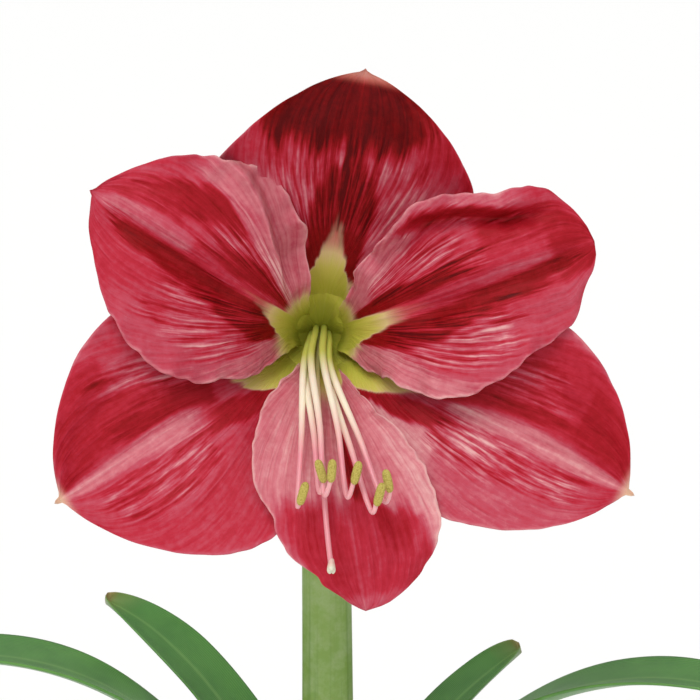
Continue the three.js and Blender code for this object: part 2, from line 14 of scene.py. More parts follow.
import bpy
import numpy as np
from mathutils import Matrix, Vector


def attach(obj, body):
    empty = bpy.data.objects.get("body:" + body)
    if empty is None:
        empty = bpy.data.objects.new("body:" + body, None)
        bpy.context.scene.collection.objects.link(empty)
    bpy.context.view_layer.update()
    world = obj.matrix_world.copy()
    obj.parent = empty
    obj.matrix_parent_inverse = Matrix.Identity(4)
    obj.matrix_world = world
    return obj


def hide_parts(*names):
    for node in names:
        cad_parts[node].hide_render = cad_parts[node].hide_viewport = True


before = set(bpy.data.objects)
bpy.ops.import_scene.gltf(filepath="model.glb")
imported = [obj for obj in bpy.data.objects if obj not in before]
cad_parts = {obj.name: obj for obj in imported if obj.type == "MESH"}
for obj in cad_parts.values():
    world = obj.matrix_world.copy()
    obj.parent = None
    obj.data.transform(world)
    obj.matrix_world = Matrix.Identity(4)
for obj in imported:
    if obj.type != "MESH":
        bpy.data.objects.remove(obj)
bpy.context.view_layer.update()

log = logging.getLogger("amaryllis")

Array = np.ndarray
Socket = bpy.types.NodeSocket
MM = 0.001
LATTICE = 64
ROOT = "root"


class Slot(Enum):
    """The record's material slots."""

    CLAY = "clay"
    SOIL = "potting_soil"
    TUNIC = "bulb_tunic"
    STALK = "stalk_green"
    LEAF = "leaf_green"
    TEPAL = "tepal_pink"
    BUD = "bud_pink"
    STAMEN = "stamen_pale"
    STYLE = "style_pale"
    SPATHE = "dry_spathe"


class Whorl(Enum):
    """Which ring of the bloom a tepal belongs to: the outer ring lies behind the inner one."""

    OUTER = "outer"
    INNER = "inner"


# Numbers


def ease(x: Array | float) -> Array:
    """Smooth step: 3x^2 - 2x^3 between 0 and 1, and level outside."""
    c = np.clip(x, 0.0, 1.0)
    return c * c * (3.0 - 2.0 * c)


def mix(a: Array | float, b: Array | float, t: Array | float) -> Array:
    """The value a share t of the way from a to b."""
    return a + (b - a) * t


def bell(x: Array, centre: float, width: float) -> Array:
    """A bell curve, exp(-((x - centre) / width)^2)."""
    return np.exp(-(((x - centre) / width) ** 2))


def unit(vectors: Array) -> Array:
    """Vectors scaled to length 1."""
    return vectors / np.maximum(np.linalg.norm(vectors, axis=-1, keepdims=True), 1e-12)


def direction(heading: float, climb: float = 0.0) -> Array:
    """The unit vector at a heading from +X towards +Y, and a climb above level, both in degrees."""
    h, c = math.radians(heading), math.radians(climb)
    return np.array([math.cos(h) * math.cos(c), math.sin(h) * math.cos(c), math.sin(c)])


def lattice_noise(x: Array, y: Array, seed: int, period: int = LATTICE) -> Array:
    """Smooth noise from -1 to 1.

    Random values on a seeded lattice, blended between lattice points by smooth steps.

    Args:
        x: first coordinate, one lattice cell to the unit.
        y: second coordinate.
        seed: picks the lattice.
        period: how many units of x the noise repeats after.

    Returns:
        The noise at each point.
    """
    lattice = np.random.default_rng(seed).uniform(-1.0, 1.0, (period, LATTICE))
    x, y = np.broadcast_arrays(np.asarray(x, float), np.asarray(y, float))
    column, row = np.floor(x).astype(int), np.floor(y).astype(int)
    tx, ty = ease(x - column), ease(y - row)
    here, after = column % period, (column + 1) % period
    row, above = row % LATTICE, (row + 1) % LATTICE
    low = mix(lattice[here, row], lattice[after, row], tx)
    high = mix(lattice[here, above], lattice[after, above], tx)
    return mix(low, high, ty)


def hermite(knots: Array, slopes: tuple[Array, Array], piece: Array, x: Array) -> Array:
    """Points a share x along pieces of a cubic Hermite curve, whose slopes are for a whole piece."""
    leaving = (1 + 2 * x) * (1 - x) ** 2 * knots[piece] + x * (1 - x) ** 2 * slopes[0]
    return leaving + x * x * (3 - 2 * x) * knots[piece + 1] + x * x * (x - 1) * slopes[1]


def spline(knots: Sequence[Sequence[float]], count: int) -> Array:
    """Points along a curve through knots, each of which takes an equal share of the curve's time.

    Cubic Hermite pieces whose slope at a knot is half the step from the knot before to the knot after.

    Args:
        knots: places that the curve passes through.
        count: how many points to return.

    Returns:
        The points, shape (count, dimensions).
    """
    p = np.asarray(knots, float)
    slope = np.concatenate([p[1:2] - p[:1], p[2:] - p[:-2], p[-1:] - p[-2:-1]]) / 2
    t = np.linspace(0, len(p) - 1, count)
    i = np.minimum(t.astype(int), len(p) - 2)
    return hermite(p, (slope[i], slope[i + 1]), i, (t - i)[:, None])


def smooth_path(knots: Sequence[Sequence[float]], count: int) -> Array:
    """Points along a smooth curve through knots.

    Cubic Hermite pieces between the knots, timed by the square root of the chord lengths, whose slopes are
    the mean of the chords' slopes weighted by each other's time.

    Args:
        knots: places that the curve passes through.
        count: how many points to return.

    Returns:
        The points, shape (count, 3), evenly spaced in the curve's time.
    """
    p = np.asarray(knots, float)
    span = np.sqrt(np.linalg.norm(np.diff(p, axis=0), axis=1))
    time = np.concatenate([[0.0], np.cumsum(span)])
    chord = np.diff(p, axis=0) / span[:, None]
    inner = (chord[:-1] * span[1:, None] + chord[1:] * span[:-1, None]) / (span[1:] + span[:-1])[:, None]
    slope = np.concatenate([chord[:1] * 1.5 - inner[:1] * 0.5, inner, chord[-1:] * 1.5 - inner[-1:] * 0.5])
    t = np.linspace(0.0, time[-1], count)
    i = np.clip(np.searchsorted(time, t, side="right") - 1, 0, len(span) - 1)
    h = span[i][:, None]
    x = (t - time[i])[:, None] / h
    return hermite(p, (h * slope[i], h * slope[i + 1]), i, x)


# Meshes


@dataclass
class Surface:
    """One mesh to be: points in millimetres, its faces, and what its material reads at each point."""

    points: Array
    quads: Array
    triangles: Array = field(default_factory=lambda: np.zeros((0, 3), int))
    uv: Array | None = None
    marks: dict[str, Array] = field(default_factory=dict)

    def outward(self) -> "Surface":
        """The same surface with its faces turned outwards, by the sign of the volume that they enclose.

        Returns:
            The surface itself.
        """
        corners = np.concatenate([self.quads[:, [0, 1, 2]], self.quads[:, [0, 2, 3]], self.triangles])
        a, b, c = (self.points[corners[:, i]] for i in range(3))
        if np.einsum("ij,ij->", a, np.cross(b, c)) < 0:
            self.quads, self.triangles = self.quads[:, ::-1], self.triangles[:, ::-1]
        return self


def joined(surfaces: Sequence[Surface]) -> Surface:
    """Several surfaces with the same marks as one, each still its own shell.

    Args:
        surfaces: The surfaces, at least one.

    Returns:
        One surface that holds them all.
    """
    starts = np.cumsum([0] + [len(s.points) for s in surfaces[:-1]])
    return Surface(
        np.concatenate([s.points for s in surfaces]),
        np.concatenate([s.quads + n for s, n in zip(surfaces, starts)]),
        np.concatenate([s.triangles + n for s, n in zip(surfaces, starts)]),
        np.concatenate([s.uv for s in surfaces]) if surfaces[0].uv is not None else None,
        {key: np.concatenate([s.marks[key] for s in surfaces]) for key in surfaces[0].marks},
    )


def blade_grid(rows: int, columns: int) -> tuple[Array, Array]:
    """An even grid of u from 0 to 1 along a blade and v from -1 to 1 across it."""
    return tuple(np.meshgrid(np.linspace(0, 1, rows), np.linspace(-1, 1, columns), indexing="ij"))


def blade(u: Array, v: Array, front: Array, back: Array, marks: dict[str, Array] | None = None) -> Surface:
    """A thin closed blade that ends in a point at u = 1.

    The front and back sheets are joined by a rim of quads. Each sheet's last row is drawn together to the
    one point at its tip.

    Args:
        u: 0 to 1 along the blade, shape (rows, columns).
        v: -1 to 1 across it.
        front: points of the front sheet, shape (rows, columns, 3).
        back: points of the back sheet.
        marks: values at each point, the same on both sheets. A mark "reverse" is added: 0 in front, 1 behind.

    Returns:
        The closed surface, with (u, v) as its map.
    """
    rows, columns = u.shape
    index = np.arange(rows * columns).reshape(rows, columns)
    index[-1, :] = index[-1, 0]
    count = rows * columns
    body = np.stack([index[:-2, :-1], index[:-2, 1:], index[1:-1, 1:], index[1:-1, :-1]], -1).reshape(-1, 4)
    fan = np.stack([index[-2, :-1], index[-2, 1:], index[-1, 1:]], -1)
    rim = np.concatenate([index[0, ::-1], index[1:, 0], index[-2::-1, -1]])
    side = np.stack([rim[:-1], rim[1:], rim[1:] + count, rim[:-1] + count], -1)
    flat = {key: np.tile(np.broadcast_to(m, u.shape).ravel(), 2) for key, m in (marks or {}).items()}
    flat["reverse"] = np.repeat([0.0, 1.0], count)
    used = np.zeros(2 * count, bool)
    quads = np.concatenate([body, body[:, ::-1] + count, side])
    triangles = np.concatenate([fan, fan[:, ::-1] + count])
    used[quads] = True
    used[triangles] = True
    number = np.cumsum(used) - 1
    points = np.concatenate([front.reshape(-1, 3), back.reshape(-1, 3)])
    chart = np.tile(np.stack([u.ravel(), 0.5 + 0.5 * v.ravel()], -1), (2, 1))
    kept = {key: m[used] for key, m in flat.items()}
    return Surface(points[used], number[quads], number[triangles], chart[used], kept).outward()


def sheet(grid: Array) -> Surface:
    """An open sheet of quads over rings of points, shape (rings, sides, 3).

    Args:
        grid: The points, in millimetres.

    Returns:
        The open surface.
    """
    rows, columns = grid.shape[:2]
    index = np.arange(rows * columns).reshape(rows, columns)
    after = np.roll(index, -1, axis=1)
    quads = np.stack([index[:-1], after[:-1], after[1:], index[1:]], -1).reshape(-1, 4)
    return Surface(grid.reshape(-1, 3), quads)


def welded(surface: Surface, near: float = 0.002) -> Surface:
    """The same surface with points closer than a distance made one, and its faces turned outwards.

    Args:
        surface: The surface to close.
        near: The distance, in millimetres.

    Returns:
        The closed surface.
    """
    cells = np.round(surface.points / near).astype(int)
    _, first, number = np.unique(cells, axis=0, return_index=True, return_inverse=True)
    number = number.ravel()
    marks = {key: mark[first] for key, mark in surface.marks.items()}
    quads, triangles = number[surface.quads], number[surface.triangles]
    return Surface(surface.points[first], quads, triangles, None, marks).outward()


def skin(rings: Array, marks: dict[str, Array] | None = None) -> Surface:
    """A closed body through rings of points, with a fan of triangles over each end.

    Args:
        rings: points, shape (rings, sides, 3), each ring going round once without repeating its first point.
        marks: values at each point, shape (rings, sides). "along" and "around" are added, 0 to 1.

    Returns:
        The closed surface, with (along, around) as its map.
    """
    count, sides = rings.shape[:2]
    side, first = np.arange(sides), count * sides
    after, last_ring = np.roll(side, -1), first - sides
    ends = [
        np.stack([after, side, np.full(sides, first)], -1),
        np.stack([side + last_ring, after + last_ring, np.full(sides, first + 1)], -1),
    ]
    points = np.concatenate([rings.reshape(-1, 3), [rings[0].mean(0), rings[-1].mean(0)]])
    along, around = np.meshgrid(np.linspace(0, 1, count), np.arange(sides) / sides, indexing="ij")
    every = {"along": along, "around": around, **(marks or {})}
    flat = {}
    for key, mark in every.items():
        mark = np.broadcast_to(mark, (count, sides))
        flat[key] = np.concatenate([mark.ravel(), [mark[0].mean(), mark[-1].mean()]])
    uv = np.stack([flat["along"], flat["around"]], -1)
    return Surface(points, sheet(rings).quads, np.concatenate(ends), uv, flat).outward()


def tube_rings(path: Array, across: Array | float, upright: Array | float, sides: int) -> Array:
    """Rings of an oval section along a path.

    At each point the section's first axis is level with +X as nearly as the path's direction allows, and the
    ring is p + a cos(t) across + b sin(t) upright.

    Args:
        path: the middle line, shape (n, 3).
        across: half-size of the section along its first axis, a number or one for each ring or point.
        upright: half-size along its second axis.
        sides: points in each ring.

    Returns:
        The rings, shape (n, sides, 3).
    """
    along = unit(np.gradient(path, axis=0))
    first = unit(np.array([1.0, 0.0, 0.0]) - along * along[:, :1])
    second = np.cross(along, first)
    turn = np.linspace(0, 2 * np.pi, sides, endpoint=False)
    a = np.asarray(across, float)
    b = np.asarray(upright, float)
    a = a[:, None] if a.ndim == 1 else a
    b = b[:, None] if b.ndim == 1 else b
    level = (a * np.cos(turn)[None, :])[..., None] * first[:, None, :]
    rise = (b * np.sin(turn)[None, :])[..., None] * second[:, None, :]
    return path[:, None, :] + level + rise


def round_turn(sides: int) -> Array:
    """Angles once round in radians, as one row."""
    return np.linspace(0, 2 * np.pi, sides, endpoint=False)[None, :]


def turned_rings(radius: Array, height: Array, sides: int) -> Array:
    """Rings of a turned body about +Z: (r cos t, r sin t, z), where r and z may vary round each ring.

    Args:
        radius: Radius of each ring, or of each of its points, in millimetres.
        height: Height of each ring, or of each of its points, in millimetres.
        sides: Number of points in a ring.

    Returns:
        The points, shape (rings, sides, 3).
    """
    turn = round_turn(sides)
    r = radius if radius.ndim == 2 else radius[:, None] * np.ones_like(turn)
    z = height if height.ndim == 2 else height[:, None] * np.ones_like(turn)
    return np.stack([r * np.cos(turn), r * np.sin(turn), z * np.ones_like(turn)], -1)


def profile(corners: Sequence[tuple[float, float]], step: float, rounding: float) -> Array:
    """Points along a polyline at about an even step.

    Args:
        corners: the outline's (radius, height) pairs.
        step: distance between points.
        rounding: how far a running mean reaches to round the corners off.

    Returns:
        The points, shape (n, 2), from the first corner to the last.
    """
    p = np.asarray(corners, float)
    run = np.concatenate([[0.0], np.cumsum(np.linalg.norm(np.diff(p, axis=0), axis=1))])
    at = np.linspace(0, run[-1], int(run[-1] / step) + 1)
    reach = np.minimum(rounding, np.minimum(at, run[-1] - at))
    near = at + reach * np.linspace(-1, 1, 9)[:, None]
    return np.stack([np.interp(near, run, p[:, i]).mean(0) for i in range(2)], -1)


def lumps(places: Array, sizes: Array, seed: int) -> Surface:
    """Many small angular lumps in one mesh, such as crumbs of soil.

    Each is a ball of four rings of six points, squashed by its sizes, turned at random and roughened.

    Args:
        places: middles of the lumps, shape (n, 3).
        sizes: half-sizes along each lump's own axes, shape (n, 3).
        seed: picks the turns and the roughness.

    Returns:
        One surface, with a mark "lump" from 0 to 1 that is the same all over each lump.
    """
    draw = np.random.default_rng(seed)
    climb = np.radians([-60, -22, 22, 60])
    ball = skin(turned_rings(np.cos(climb), np.sin(climb), 6))
    turns = np.linalg.qr(draw.normal(size=(len(places), 3, 3)))[0]
    rough = draw.uniform(0.78, 1.15, (len(places), len(ball.points), 1))
    shapes = ball.points[None] * rough * sizes[:, None, :]
    points = np.einsum("npi,nij->npj", shapes, turns) + places[:, None, :]
    starts = (np.arange(len(places)) * len(ball.points))[:, None, None]
    tint = np.repeat(draw.uniform(0, 1, len(places)), len(ball.points))
    quads = (ball.quads[None] + starts).reshape(-1, 4)
    triangles = (ball.triangles[None] + starts).reshape(-1, 3)
    return Surface(points.reshape(-1, 3), quads, triangles, None, {"lump": tint})


def put(name: str, data: bpy.types.ID) -> bpy.types.Object:
    """A new object at the origin of the scene.

    Args:
        name: Name of the object.
        data: What it shows: a mesh, a lamp or a camera.

    Returns:
        The object, linked to the scene.
    """
    made = bpy.data.objects.new(name, data)
    bpy.context.scene.collection.objects.link(made)
    return made


def make_piece(
    name: str, surface: Surface, material: bpy.types.Material, stands_for: Sequence[str] = ()
) -> bpy.types.Object:
    """Turns a surface into a smooth-shaded piece of the plant.

    Args:
        name: the piece's name.
        surface: its points in millimetres, faces, map and marks.
        material: its finish.
        stands_for: the CAD nodes that it replaces.

    Returns:
        The new object, at the origin, riding on the one body.
    """
    mesh = bpy.data.meshes.new(name)
    mesh.from_pydata((surface.points * MM).tolist(), [], surface.quads.tolist() + surface.triangles.tolist())
    if surface.uv is not None:
        corner = np.empty(len(mesh.loops), np.int32)
        mesh.loops.foreach_get("vertex_index", corner)
        chart = mesh.uv_layers.new(name="surface")
        chart.data.foreach_set("uv", surface.uv[corner].astype(np.float32).ravel())
    for key, mark in surface.marks.items():
        mesh.attributes.new(key, "FLOAT", "POINT").data.foreach_set("value", mark.astype(np.float32))
    mesh.shade_smooth()
    mesh.update()
    mesh.materials.append(material)
    piece = put(name, mesh)
    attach(piece, ROOT)
    if stands_for:
        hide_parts(*stands_for)
    log.info("%s: %d faces", name, len(mesh.polygons))
    return piece


# Finishes

PINKS = (
    (0.0, "#DDA6A4"),
    (0.15, "#CC7A82"),
    (0.32, "#BA4C5D"),
    (0.48, "#B4283B"),
    (0.63, "#A11523"),
    (0.82, "#84080D"),
    (1.0, "#580306"),
)
GREENS = (
    (0.0, "#DDB79E"),
    (0.25, "#DCC48A"),
    (0.5, "#D3CA62"),
    (0.8, "#C9C94C"),
    (1.0, "#AEB036"),
)


def linear(colour: str) -> tuple[float, float, float, float]:
    """An sRGB hex colour as linear red, green, blue and alpha 1.

    Args:
        colour: The colour, as #RRGGBB.

    Returns:
        The four parts, each from 0 to 1.
    """
    parts = [int(colour[i : i + 2], 16) / 255 for i in (1, 3, 5)]
    red, green, blue = (c / 12.92 if c <= 0.04045 else ((c + 0.055) / 1.055) ** 2.4 for c in parts)
    return red, green, blue, 1.0


def add_node(
    tree: bpy.types.NodeTree,
    kind: str,
    inputs: dict[str | int, object] | None = None,
    stops: Sequence[tuple[float, str]] = (),
    out: int | str = 0,
    **settings: object,
) -> Socket:
    """Adds one node to a material and returns one of its outputs.

    Args:
        tree: the material's node tree.
        kind: the node's type, without its ShaderNode prefix.
        inputs: socket name or number to a value, or to the output that feeds it.
        stops: a colour ramp's positions and hex colours.
        out: name or number of the output that is wanted.
        settings: the node's own properties.

    Returns:
        The output.
    """
    node = tree.nodes.new("ShaderNode" + kind)
    for key, value in settings.items():
        setattr(node, key, value)
    for key, value in (inputs or {}).items():
        if isinstance(value, Socket):
            tree.links.new(value, node.inputs[key])
        else:
            node.inputs[key].default_value = value
    if stops:
        ramp = node.color_ramp.elements
        while len(ramp) < len(stops):
            ramp.new(1.0)
        for element, (place, colour) in zip(ramp, stops):
            element.position = place
            element.color = linear(colour)
    return node.outputs[out]


NodeAdder = Callable[..., Socket]
Painted = tuple[Socket, Socket | None]
Stops = tuple[tuple[float, str], ...]


def clouds(add: NodeAdder, size: float, detail: float, roughness: float = 0.5) -> Socket:
    """Noise in space whose broadest blots measure a size in millimetres.

    Args:
        add: Adds a node to the material's tree and gives back one of its outputs.
        size: Size of a blot, in millimetres.
        detail: Number of finer layers.
        roughness: Strength of the finer layers, from 0 to 1.

    Returns:
        The noise, from 0 to 1.
    """
    spot = add("TexCoord", out="Object")
    grain = {"Vector": spot, "Scale": 1 / (size * MM), "Detail": detail, "Roughness": roughness}
    return add("TexNoise", grain, out="Fac")


def drawn_out(add: NodeAdder, along: float, across: float, detail: float, roughness: float = 0.5) -> Socket:
    """Noise with so many blots along the piece's own map, and so many across it.

    Args:
        add: Adds a node to the material's tree and gives back one of its outputs.
        along: Number of blots along the map.
        across: Number of blots across it.
        detail: Number of finer layers.
        roughness: Strength of the finer layers, from 0 to 1.

    Returns:
        The noise, from 0 to 1.
    """
    chart = add("UVMap", uv_map="surface")
    scaled = add("Mapping", {"Vector": chart, "Scale": (along, across, 1.0)})
    grain = {"Vector": scaled, "Scale": 1.0, "Detail": detail, "Roughness": roughness}
    return add("TexNoise", grain, noise_dimensions="2D", out="Fac")


def tinted(
    add: NodeAdder, under: Socket, tint: str, pattern: Socket, low: float, high: float, most: float
) -> Socket:
    """Lays a tint over a colour: none of it where a pattern is low, up to the share most where it is high."""
    share = add("MapRange", {"Value": pattern, "From Min": low, "From Max": high, "To Max": most})
    return add("Mix", {"Factor": share, 6: under, 7: linear(tint)}, data_type="RGBA", out=2)


@dataclass(frozen=True)
class Finish:
    """A material of one kind of surface: how rough and how glossy it is, and how its pattern is painted.

    Its bump is a strength and a depth in millimetres, and sunken turns high and low about.
    """

    name: str
    roughness: float = 0.5
    specular: float = 0.5
    subsurface: float = 0.0
    bump: tuple[float, float] = (0.0, 0.0)
    sunken: bool = False

    def material(self) -> bpy.types.Material:
        """Builds the material: a Principled surface whose colour and bump come from paint().

        Returns:
            The material.
        """
        made = bpy.data.materials.new(self.name)
        made.use_nodes = True
        tree = made.node_tree
        shader = tree.nodes["Principled BSDF"]
        shader.inputs["Roughness"].default_value = self.roughness
        shader.inputs["Specular IOR Level"].default_value = self.specular
        shader.inputs["Subsurface Weight"].default_value = self.subsurface
        shader.inputs["Subsurface Radius"].default_value = (1.0, 0.4, 0.3)
        shader.inputs["Subsurface Scale"].default_value = 1.5 * MM
        add = partial(add_node, tree)
        colour, height = self.paint(add)
        tree.links.new(colour, shader.inputs["Base Color"])
        if height is not None:
            strength, depth = self.bump
            relief = {"Height": height, "Strength": strength, "Distance": depth * MM}
            tree.links.new(add("Bump", relief, invert=self.sunken), shader.inputs["Normal"])
        return made

    def paint(self, add: NodeAdder) -> Painted:
        """The colour, and the height that the bump reads. Each kind of finish has its own pattern."""
        raise NotImplementedError


@dataclass(frozen=True)
class TepalSkin(Finish):
    """Living amaryllis petal: satin, barely glossy, with fine veins that run from the throat to the tip.

    The marks give the broad pattern: tone is 0 for blush, 0.5 for rose and 1 for deep crimson, star is 0 for
    pink to 1 for the green of the throat, and veining says how strongly the veins show. The tone also carries
    the painted shade and painted highlights that some of the tepals' markings lay on.
    """

    roughness: float = 0.5
    specular: float = 0.1
    subsurface: float = 0.1
    bump: tuple[float, float] = (0.4, 0.4)
    sunken: bool = True
    mottling: float = 2.4
    seed: float = 0.0

    def paint(self, add: NodeAdder) -> Painted:
        """Veins and mottling are added to the tone before the colour ramp, and the star is laid over it.

        Args:
            add: Adds a node to the material's tree and gives back one of its outputs.

        Returns:
            The colour, and the height for the bump or None.
        """
        mark = {
            key: add("Attribute", attribute_name=key, out="Fac")
            for key in ("tone", "star", "veining", "reverse", "fan", "run")
        }
        drawn = self.veins_of(add, mark["run"], mark["fan"])
        mottle = clouds(add, self.mottling, 3.0, 0.6)
        pull = add("Math", {0: drawn, 1: mark["veining"]}, operation="MULTIPLY")
        veined = add("Math", {0: pull, 1: mark["tone"]}, operation="ADD")
        spread = {"Value": mottle, "From Min": 0.3, "From Max": 0.7, "To Min": -0.045, "To Max": 0.045}
        speck = add("MapRange", spread)
        tone = add("Math", {0: veined, 1: speck}, operation="ADD", use_clamp=True)
        pink = add("ValToRGB", {"Fac": tone}, PINKS)
        shifted = add("Math", {0: drawn, 1: 0.06, 2: mark["star"]}, operation="MULTIPLY_ADD")
        green = add("ValToRGB", {"Fac": shifted}, GREENS)
        wash = add("MapRange", {"Value": mark["star"], "From Max": 0.25}, clamp=True)
        inside = add("Mix", {"Factor": wash, 6: pink, 7: green}, data_type="RGBA", out=2)
        behind = add("Mix", {"Factor": 0.4, 6: inside, 7: linear("#CF7F86")}, data_type="RGBA", out=2)
        both = {"Factor": mark["reverse"], 6: inside, 7: behind}
        painted = add("Mix", both, data_type="RGBA", out=2)
        relief = add("Mix", {"Factor": 0.45, 2: drawn, 3: mottle})
        return painted, relief

    def veins_of(self, add: NodeAdder, run: Socket, fan: Socket) -> Socket:
        """Fine lines about 0: one wave a vein, over noise that is drawn out along the veins.

        Args:
            add: adds a node to the material and returns an output of it.
            run: distance along the tepal, in centimetres.
            fan: number of the vein, counted from the midrib.

        Returns:
            The pattern, from about -1 to 1.
        """
        chart = add("CombineXYZ", {"X": run, "Y": fan})
        noise = []
        for along, across, detail in ((0.45, 0.8, 1.0), (0.8, 1.9, 1.0), (1.8, 4.4, 2.0)):
            start = (self.seed, self.seed * 3.7, 0)
            drawn = add("Mapping", {"Vector": chart, "Scale": (along, across, 1.0), "Location": start})
            grain = {"Vector": drawn, "Scale": 1.0, "Detail": detail, "Roughness": 0.5}
            noise.append(add("TexNoise", grain, noise_dimensions="2D", out="Fac"))
        both = add("Mix", {"Factor": 0.5, 2: noise[0], 3: noise[1]})
        all_three = add("Mix", {"Factor": 0.3, 2: both, 3: noise[2]})
        swing = {"Value": all_three, "From Min": 0.37, "From Max": 0.63, "To Min": -0.8, "To Max": 0.8}
        loose = add("MapRange", swing)
        turn = add("Math", {0: fan, 1: 2 * math.pi}, operation="MULTIPLY")
        phase = add("Math", {0: noise[0], 1: 10.0, 2: turn}, operation="MULTIPLY_ADD")
        comb = add("Math", {0: phase}, operation="SINE")
        return add("Math", {0: comb, 1: 0.45, 2: loose}, operation="MULTIPLY_ADD")


@dataclass(frozen=True)
class Filament(Finish):
    """Stamen filament or style: smooth, moist and pale, with a yellow-green foot and a pink length."""

    roughness: float = 0.35
    subsurface: float = 0.2
    foot: str = "#C3C95E"
    middle: str = "#F2E8CF"
    far: str = "#DE8C96"
    end: str = "#E3A7A8"

    def paint(self, add: NodeAdder) -> Painted:
        """A ramp along the filament.

        Args:
            add: Adds a node to the material's tree and gives back one of its outputs.

        Returns:
            The colour, and the height for the bump or None.
        """
        along = add("Attribute", attribute_name="along", out="Fac")
        stops = ((0.4, self.foot), (0.52, self.middle), (0.6, self.middle), (0.76, self.far), (1.0, self.end))
        colour = add("ValToRGB", {"Fac": along}, stops)
        return colour, None


@dataclass(frozen=True)
class Pollen(Finish):
    """Anther: dry and mealy, yellow-green, with its pollen as fine grains."""

    roughness: float = 0.85
    specular: float = 0.2
    grain: float = 0.45
    bump: tuple[float, float] = (0.6, 0.2)
    sunken: bool = True

    def paint(self, add: NodeAdder) -> Painted:
        """Grains of pollen as cells, paler on their tops, with painted shade in the gaps between them.

        Args:
            add: Adds a node to the material's tree and gives back one of its outputs.

        Returns:
            The colour, and the height for the bump or None.
        """
        spot = add("TexCoord", out="Object")
        cells = add("TexVoronoi", {"Vector": spot, "Scale": 1 / (self.grain * MM)}, out="Distance")
        # Pale at each grain's middle and darker towards the gaps: painted shade between the grains.
        stops = ((0.0, "#C6B66C"), (0.5, "#B3A450"), (1.0, "#958440"))
        colour = add("ValToRGB", {"Fac": cells}, stops)
        return colour, cells


@dataclass(frozen=True)
class Terracotta(Finish):
    """Fired earthenware, turned and left unglazed: matt orange-brown, with fine grog and pale lime.

    Its clouds of colour, its patches of lime, its grog and its turning rings have sizes in millimetres.
    """

    roughness: float = 0.92
    specular: float = 0.2
    bump: tuple[float, float] = (0.35, 0.3)
    cloud: float = 26.0
    lime: float = 19.0
    grog: float = 0.9
    ring: float = 2.6

    def paint(self, add: NodeAdder) -> Painted:
        """Broad clouds of clay colour with specks of grog, and lime where a second cloud is strong.

        Args:
            add: Adds a node to the material's tree and gives back one of its outputs.

        Returns:
            The colour, and the height for the bump or None.
        """
        spot = add("TexCoord", out="Object")
        stops = ((0.3, "#9C5232"), (0.5, "#B7673F"), (0.7, "#C67E55"))
        clay = add("ValToRGB", {"Fac": clouds(add, self.cloud, 5.0, 0.6)}, stops)
        specks = clouds(add, self.grog, 2.0)
        speckled = tinted(add, clay, "#7C3F26", specks, 0.62, 0.74, 0.45)
        height = add("SeparateXYZ", {0: spot}, out="Z")
        shifted = add("Mapping", {"Vector": spot, "Location": (0.3, 0.1, 0.2), "Scale": (1, 1, 1.6)})
        veil = {"Vector": shifted, "Scale": 1 / (self.lime * MM), "Detail": 7.0, "Roughness": 0.68}
        patch = add("TexNoise", veil, out="Fac")
        low = {"Value": height, "From Min": 0.0, "From Max": 34 * MM, "To Min": 0.12, "To Max": 0.0}
        damp = add("MapRange", low)
        high = {"Value": height, "From Min": 88 * MM, "From Max": 118 * MM, "To Min": 0.0, "To Max": 0.09}
        rim = add("MapRange", high)
        raised = add("Math", {0: patch, 1: damp}, operation="ADD")
        raised = add("Math", {0: raised, 1: rim}, operation="ADD")
        dusty = tinted(add, speckled, "#D9B9A0", raised, 0.55, 0.78, 0.6)
        turning = {"Vector": spot, "Scale": 1 / (self.ring * MM) / 3.2, "Distortion": 0.6, "Detail": 1.0}
        rings = add("TexWave", turning, bands_direction="Z", out="Fac")
        relief = add("Mix", {"Factor": 0.7, 2: rings, 3: specks})
        return dusty, relief


@dataclass(frozen=True)
class Mottled(Finish):
    """Matter mottled by fine noise: moist peat and bark, white expanded perlite, or a bulb's fleshy scale.

    Where it is lumpy, each lump is a little lighter or darker than the next.
    """

    roughness: float = 0.95
    specular: float = 0.15
    crumb: float = 1.6
    bump: tuple[float, float] = (0.8, 0.5)
    stops: Stops = ((0.3, "#1F150F"), (0.55, "#3A281C"), (0.8, "#5B4230"))
    lumpy: bool = False

    def paint(self, add: NodeAdder) -> Painted:
        """Noise at the size of a crumb, shifted lighter or darker for each loose lump.

        Args:
            add: Adds a node to the material's tree and gives back one of its outputs.

        Returns:
            The colour, and the height for the bump or None.
        """
        tone = relief = clouds(add, self.crumb, 4.0, 0.65)
        if self.lumpy:
            lump = add("Attribute", attribute_name="lump", out="Fac")
            tone = add("Mix", {"Factor": 0.6, 2: tone, 3: lump})
        colour = add("ValToRGB", {"Fac": tone}, self.stops)
        return colour, relief


@dataclass(frozen=True)
class Papery(Finish):
    """Dry plant membrane, such as bulb tunic or withered bract: papery, veined lengthwise and mottled."""

    roughness: float = 0.62
    specular: float = 0.3
    bump: tuple[float, float] = (0.6, 0.5)
    stops: Stops = ((0.2, "#5E3620"), (0.5, "#93603A"), (0.75, "#B98A5C"), (1.0, "#D5B48A"))
    veins: float = 70.0
    stains: float = 9.0

    def paint(self, add: NodeAdder) -> Painted:
        """Veins as noise drawn out along the piece's map, over stains by place, through one colour ramp.

        Args:
            add: Adds a node to the material's tree and gives back one of its outputs.

        Returns:
            The colour, and the height for the bump or None.
        """
        veins = drawn_out(add, 2.5, self.veins, 3.0, 0.6)
        stain = clouds(add, self.stains, 5.0, 0.62)
        both = add("Mix", {"Factor": 0.5, 2: veins, 3: stain})
        spread = add("MapRange", {"Value": both, "From Min": 0.3, "From Max": 0.7})
        colour = add("ValToRGB", {"Fac": spread}, self.stops)
        return colour, veins


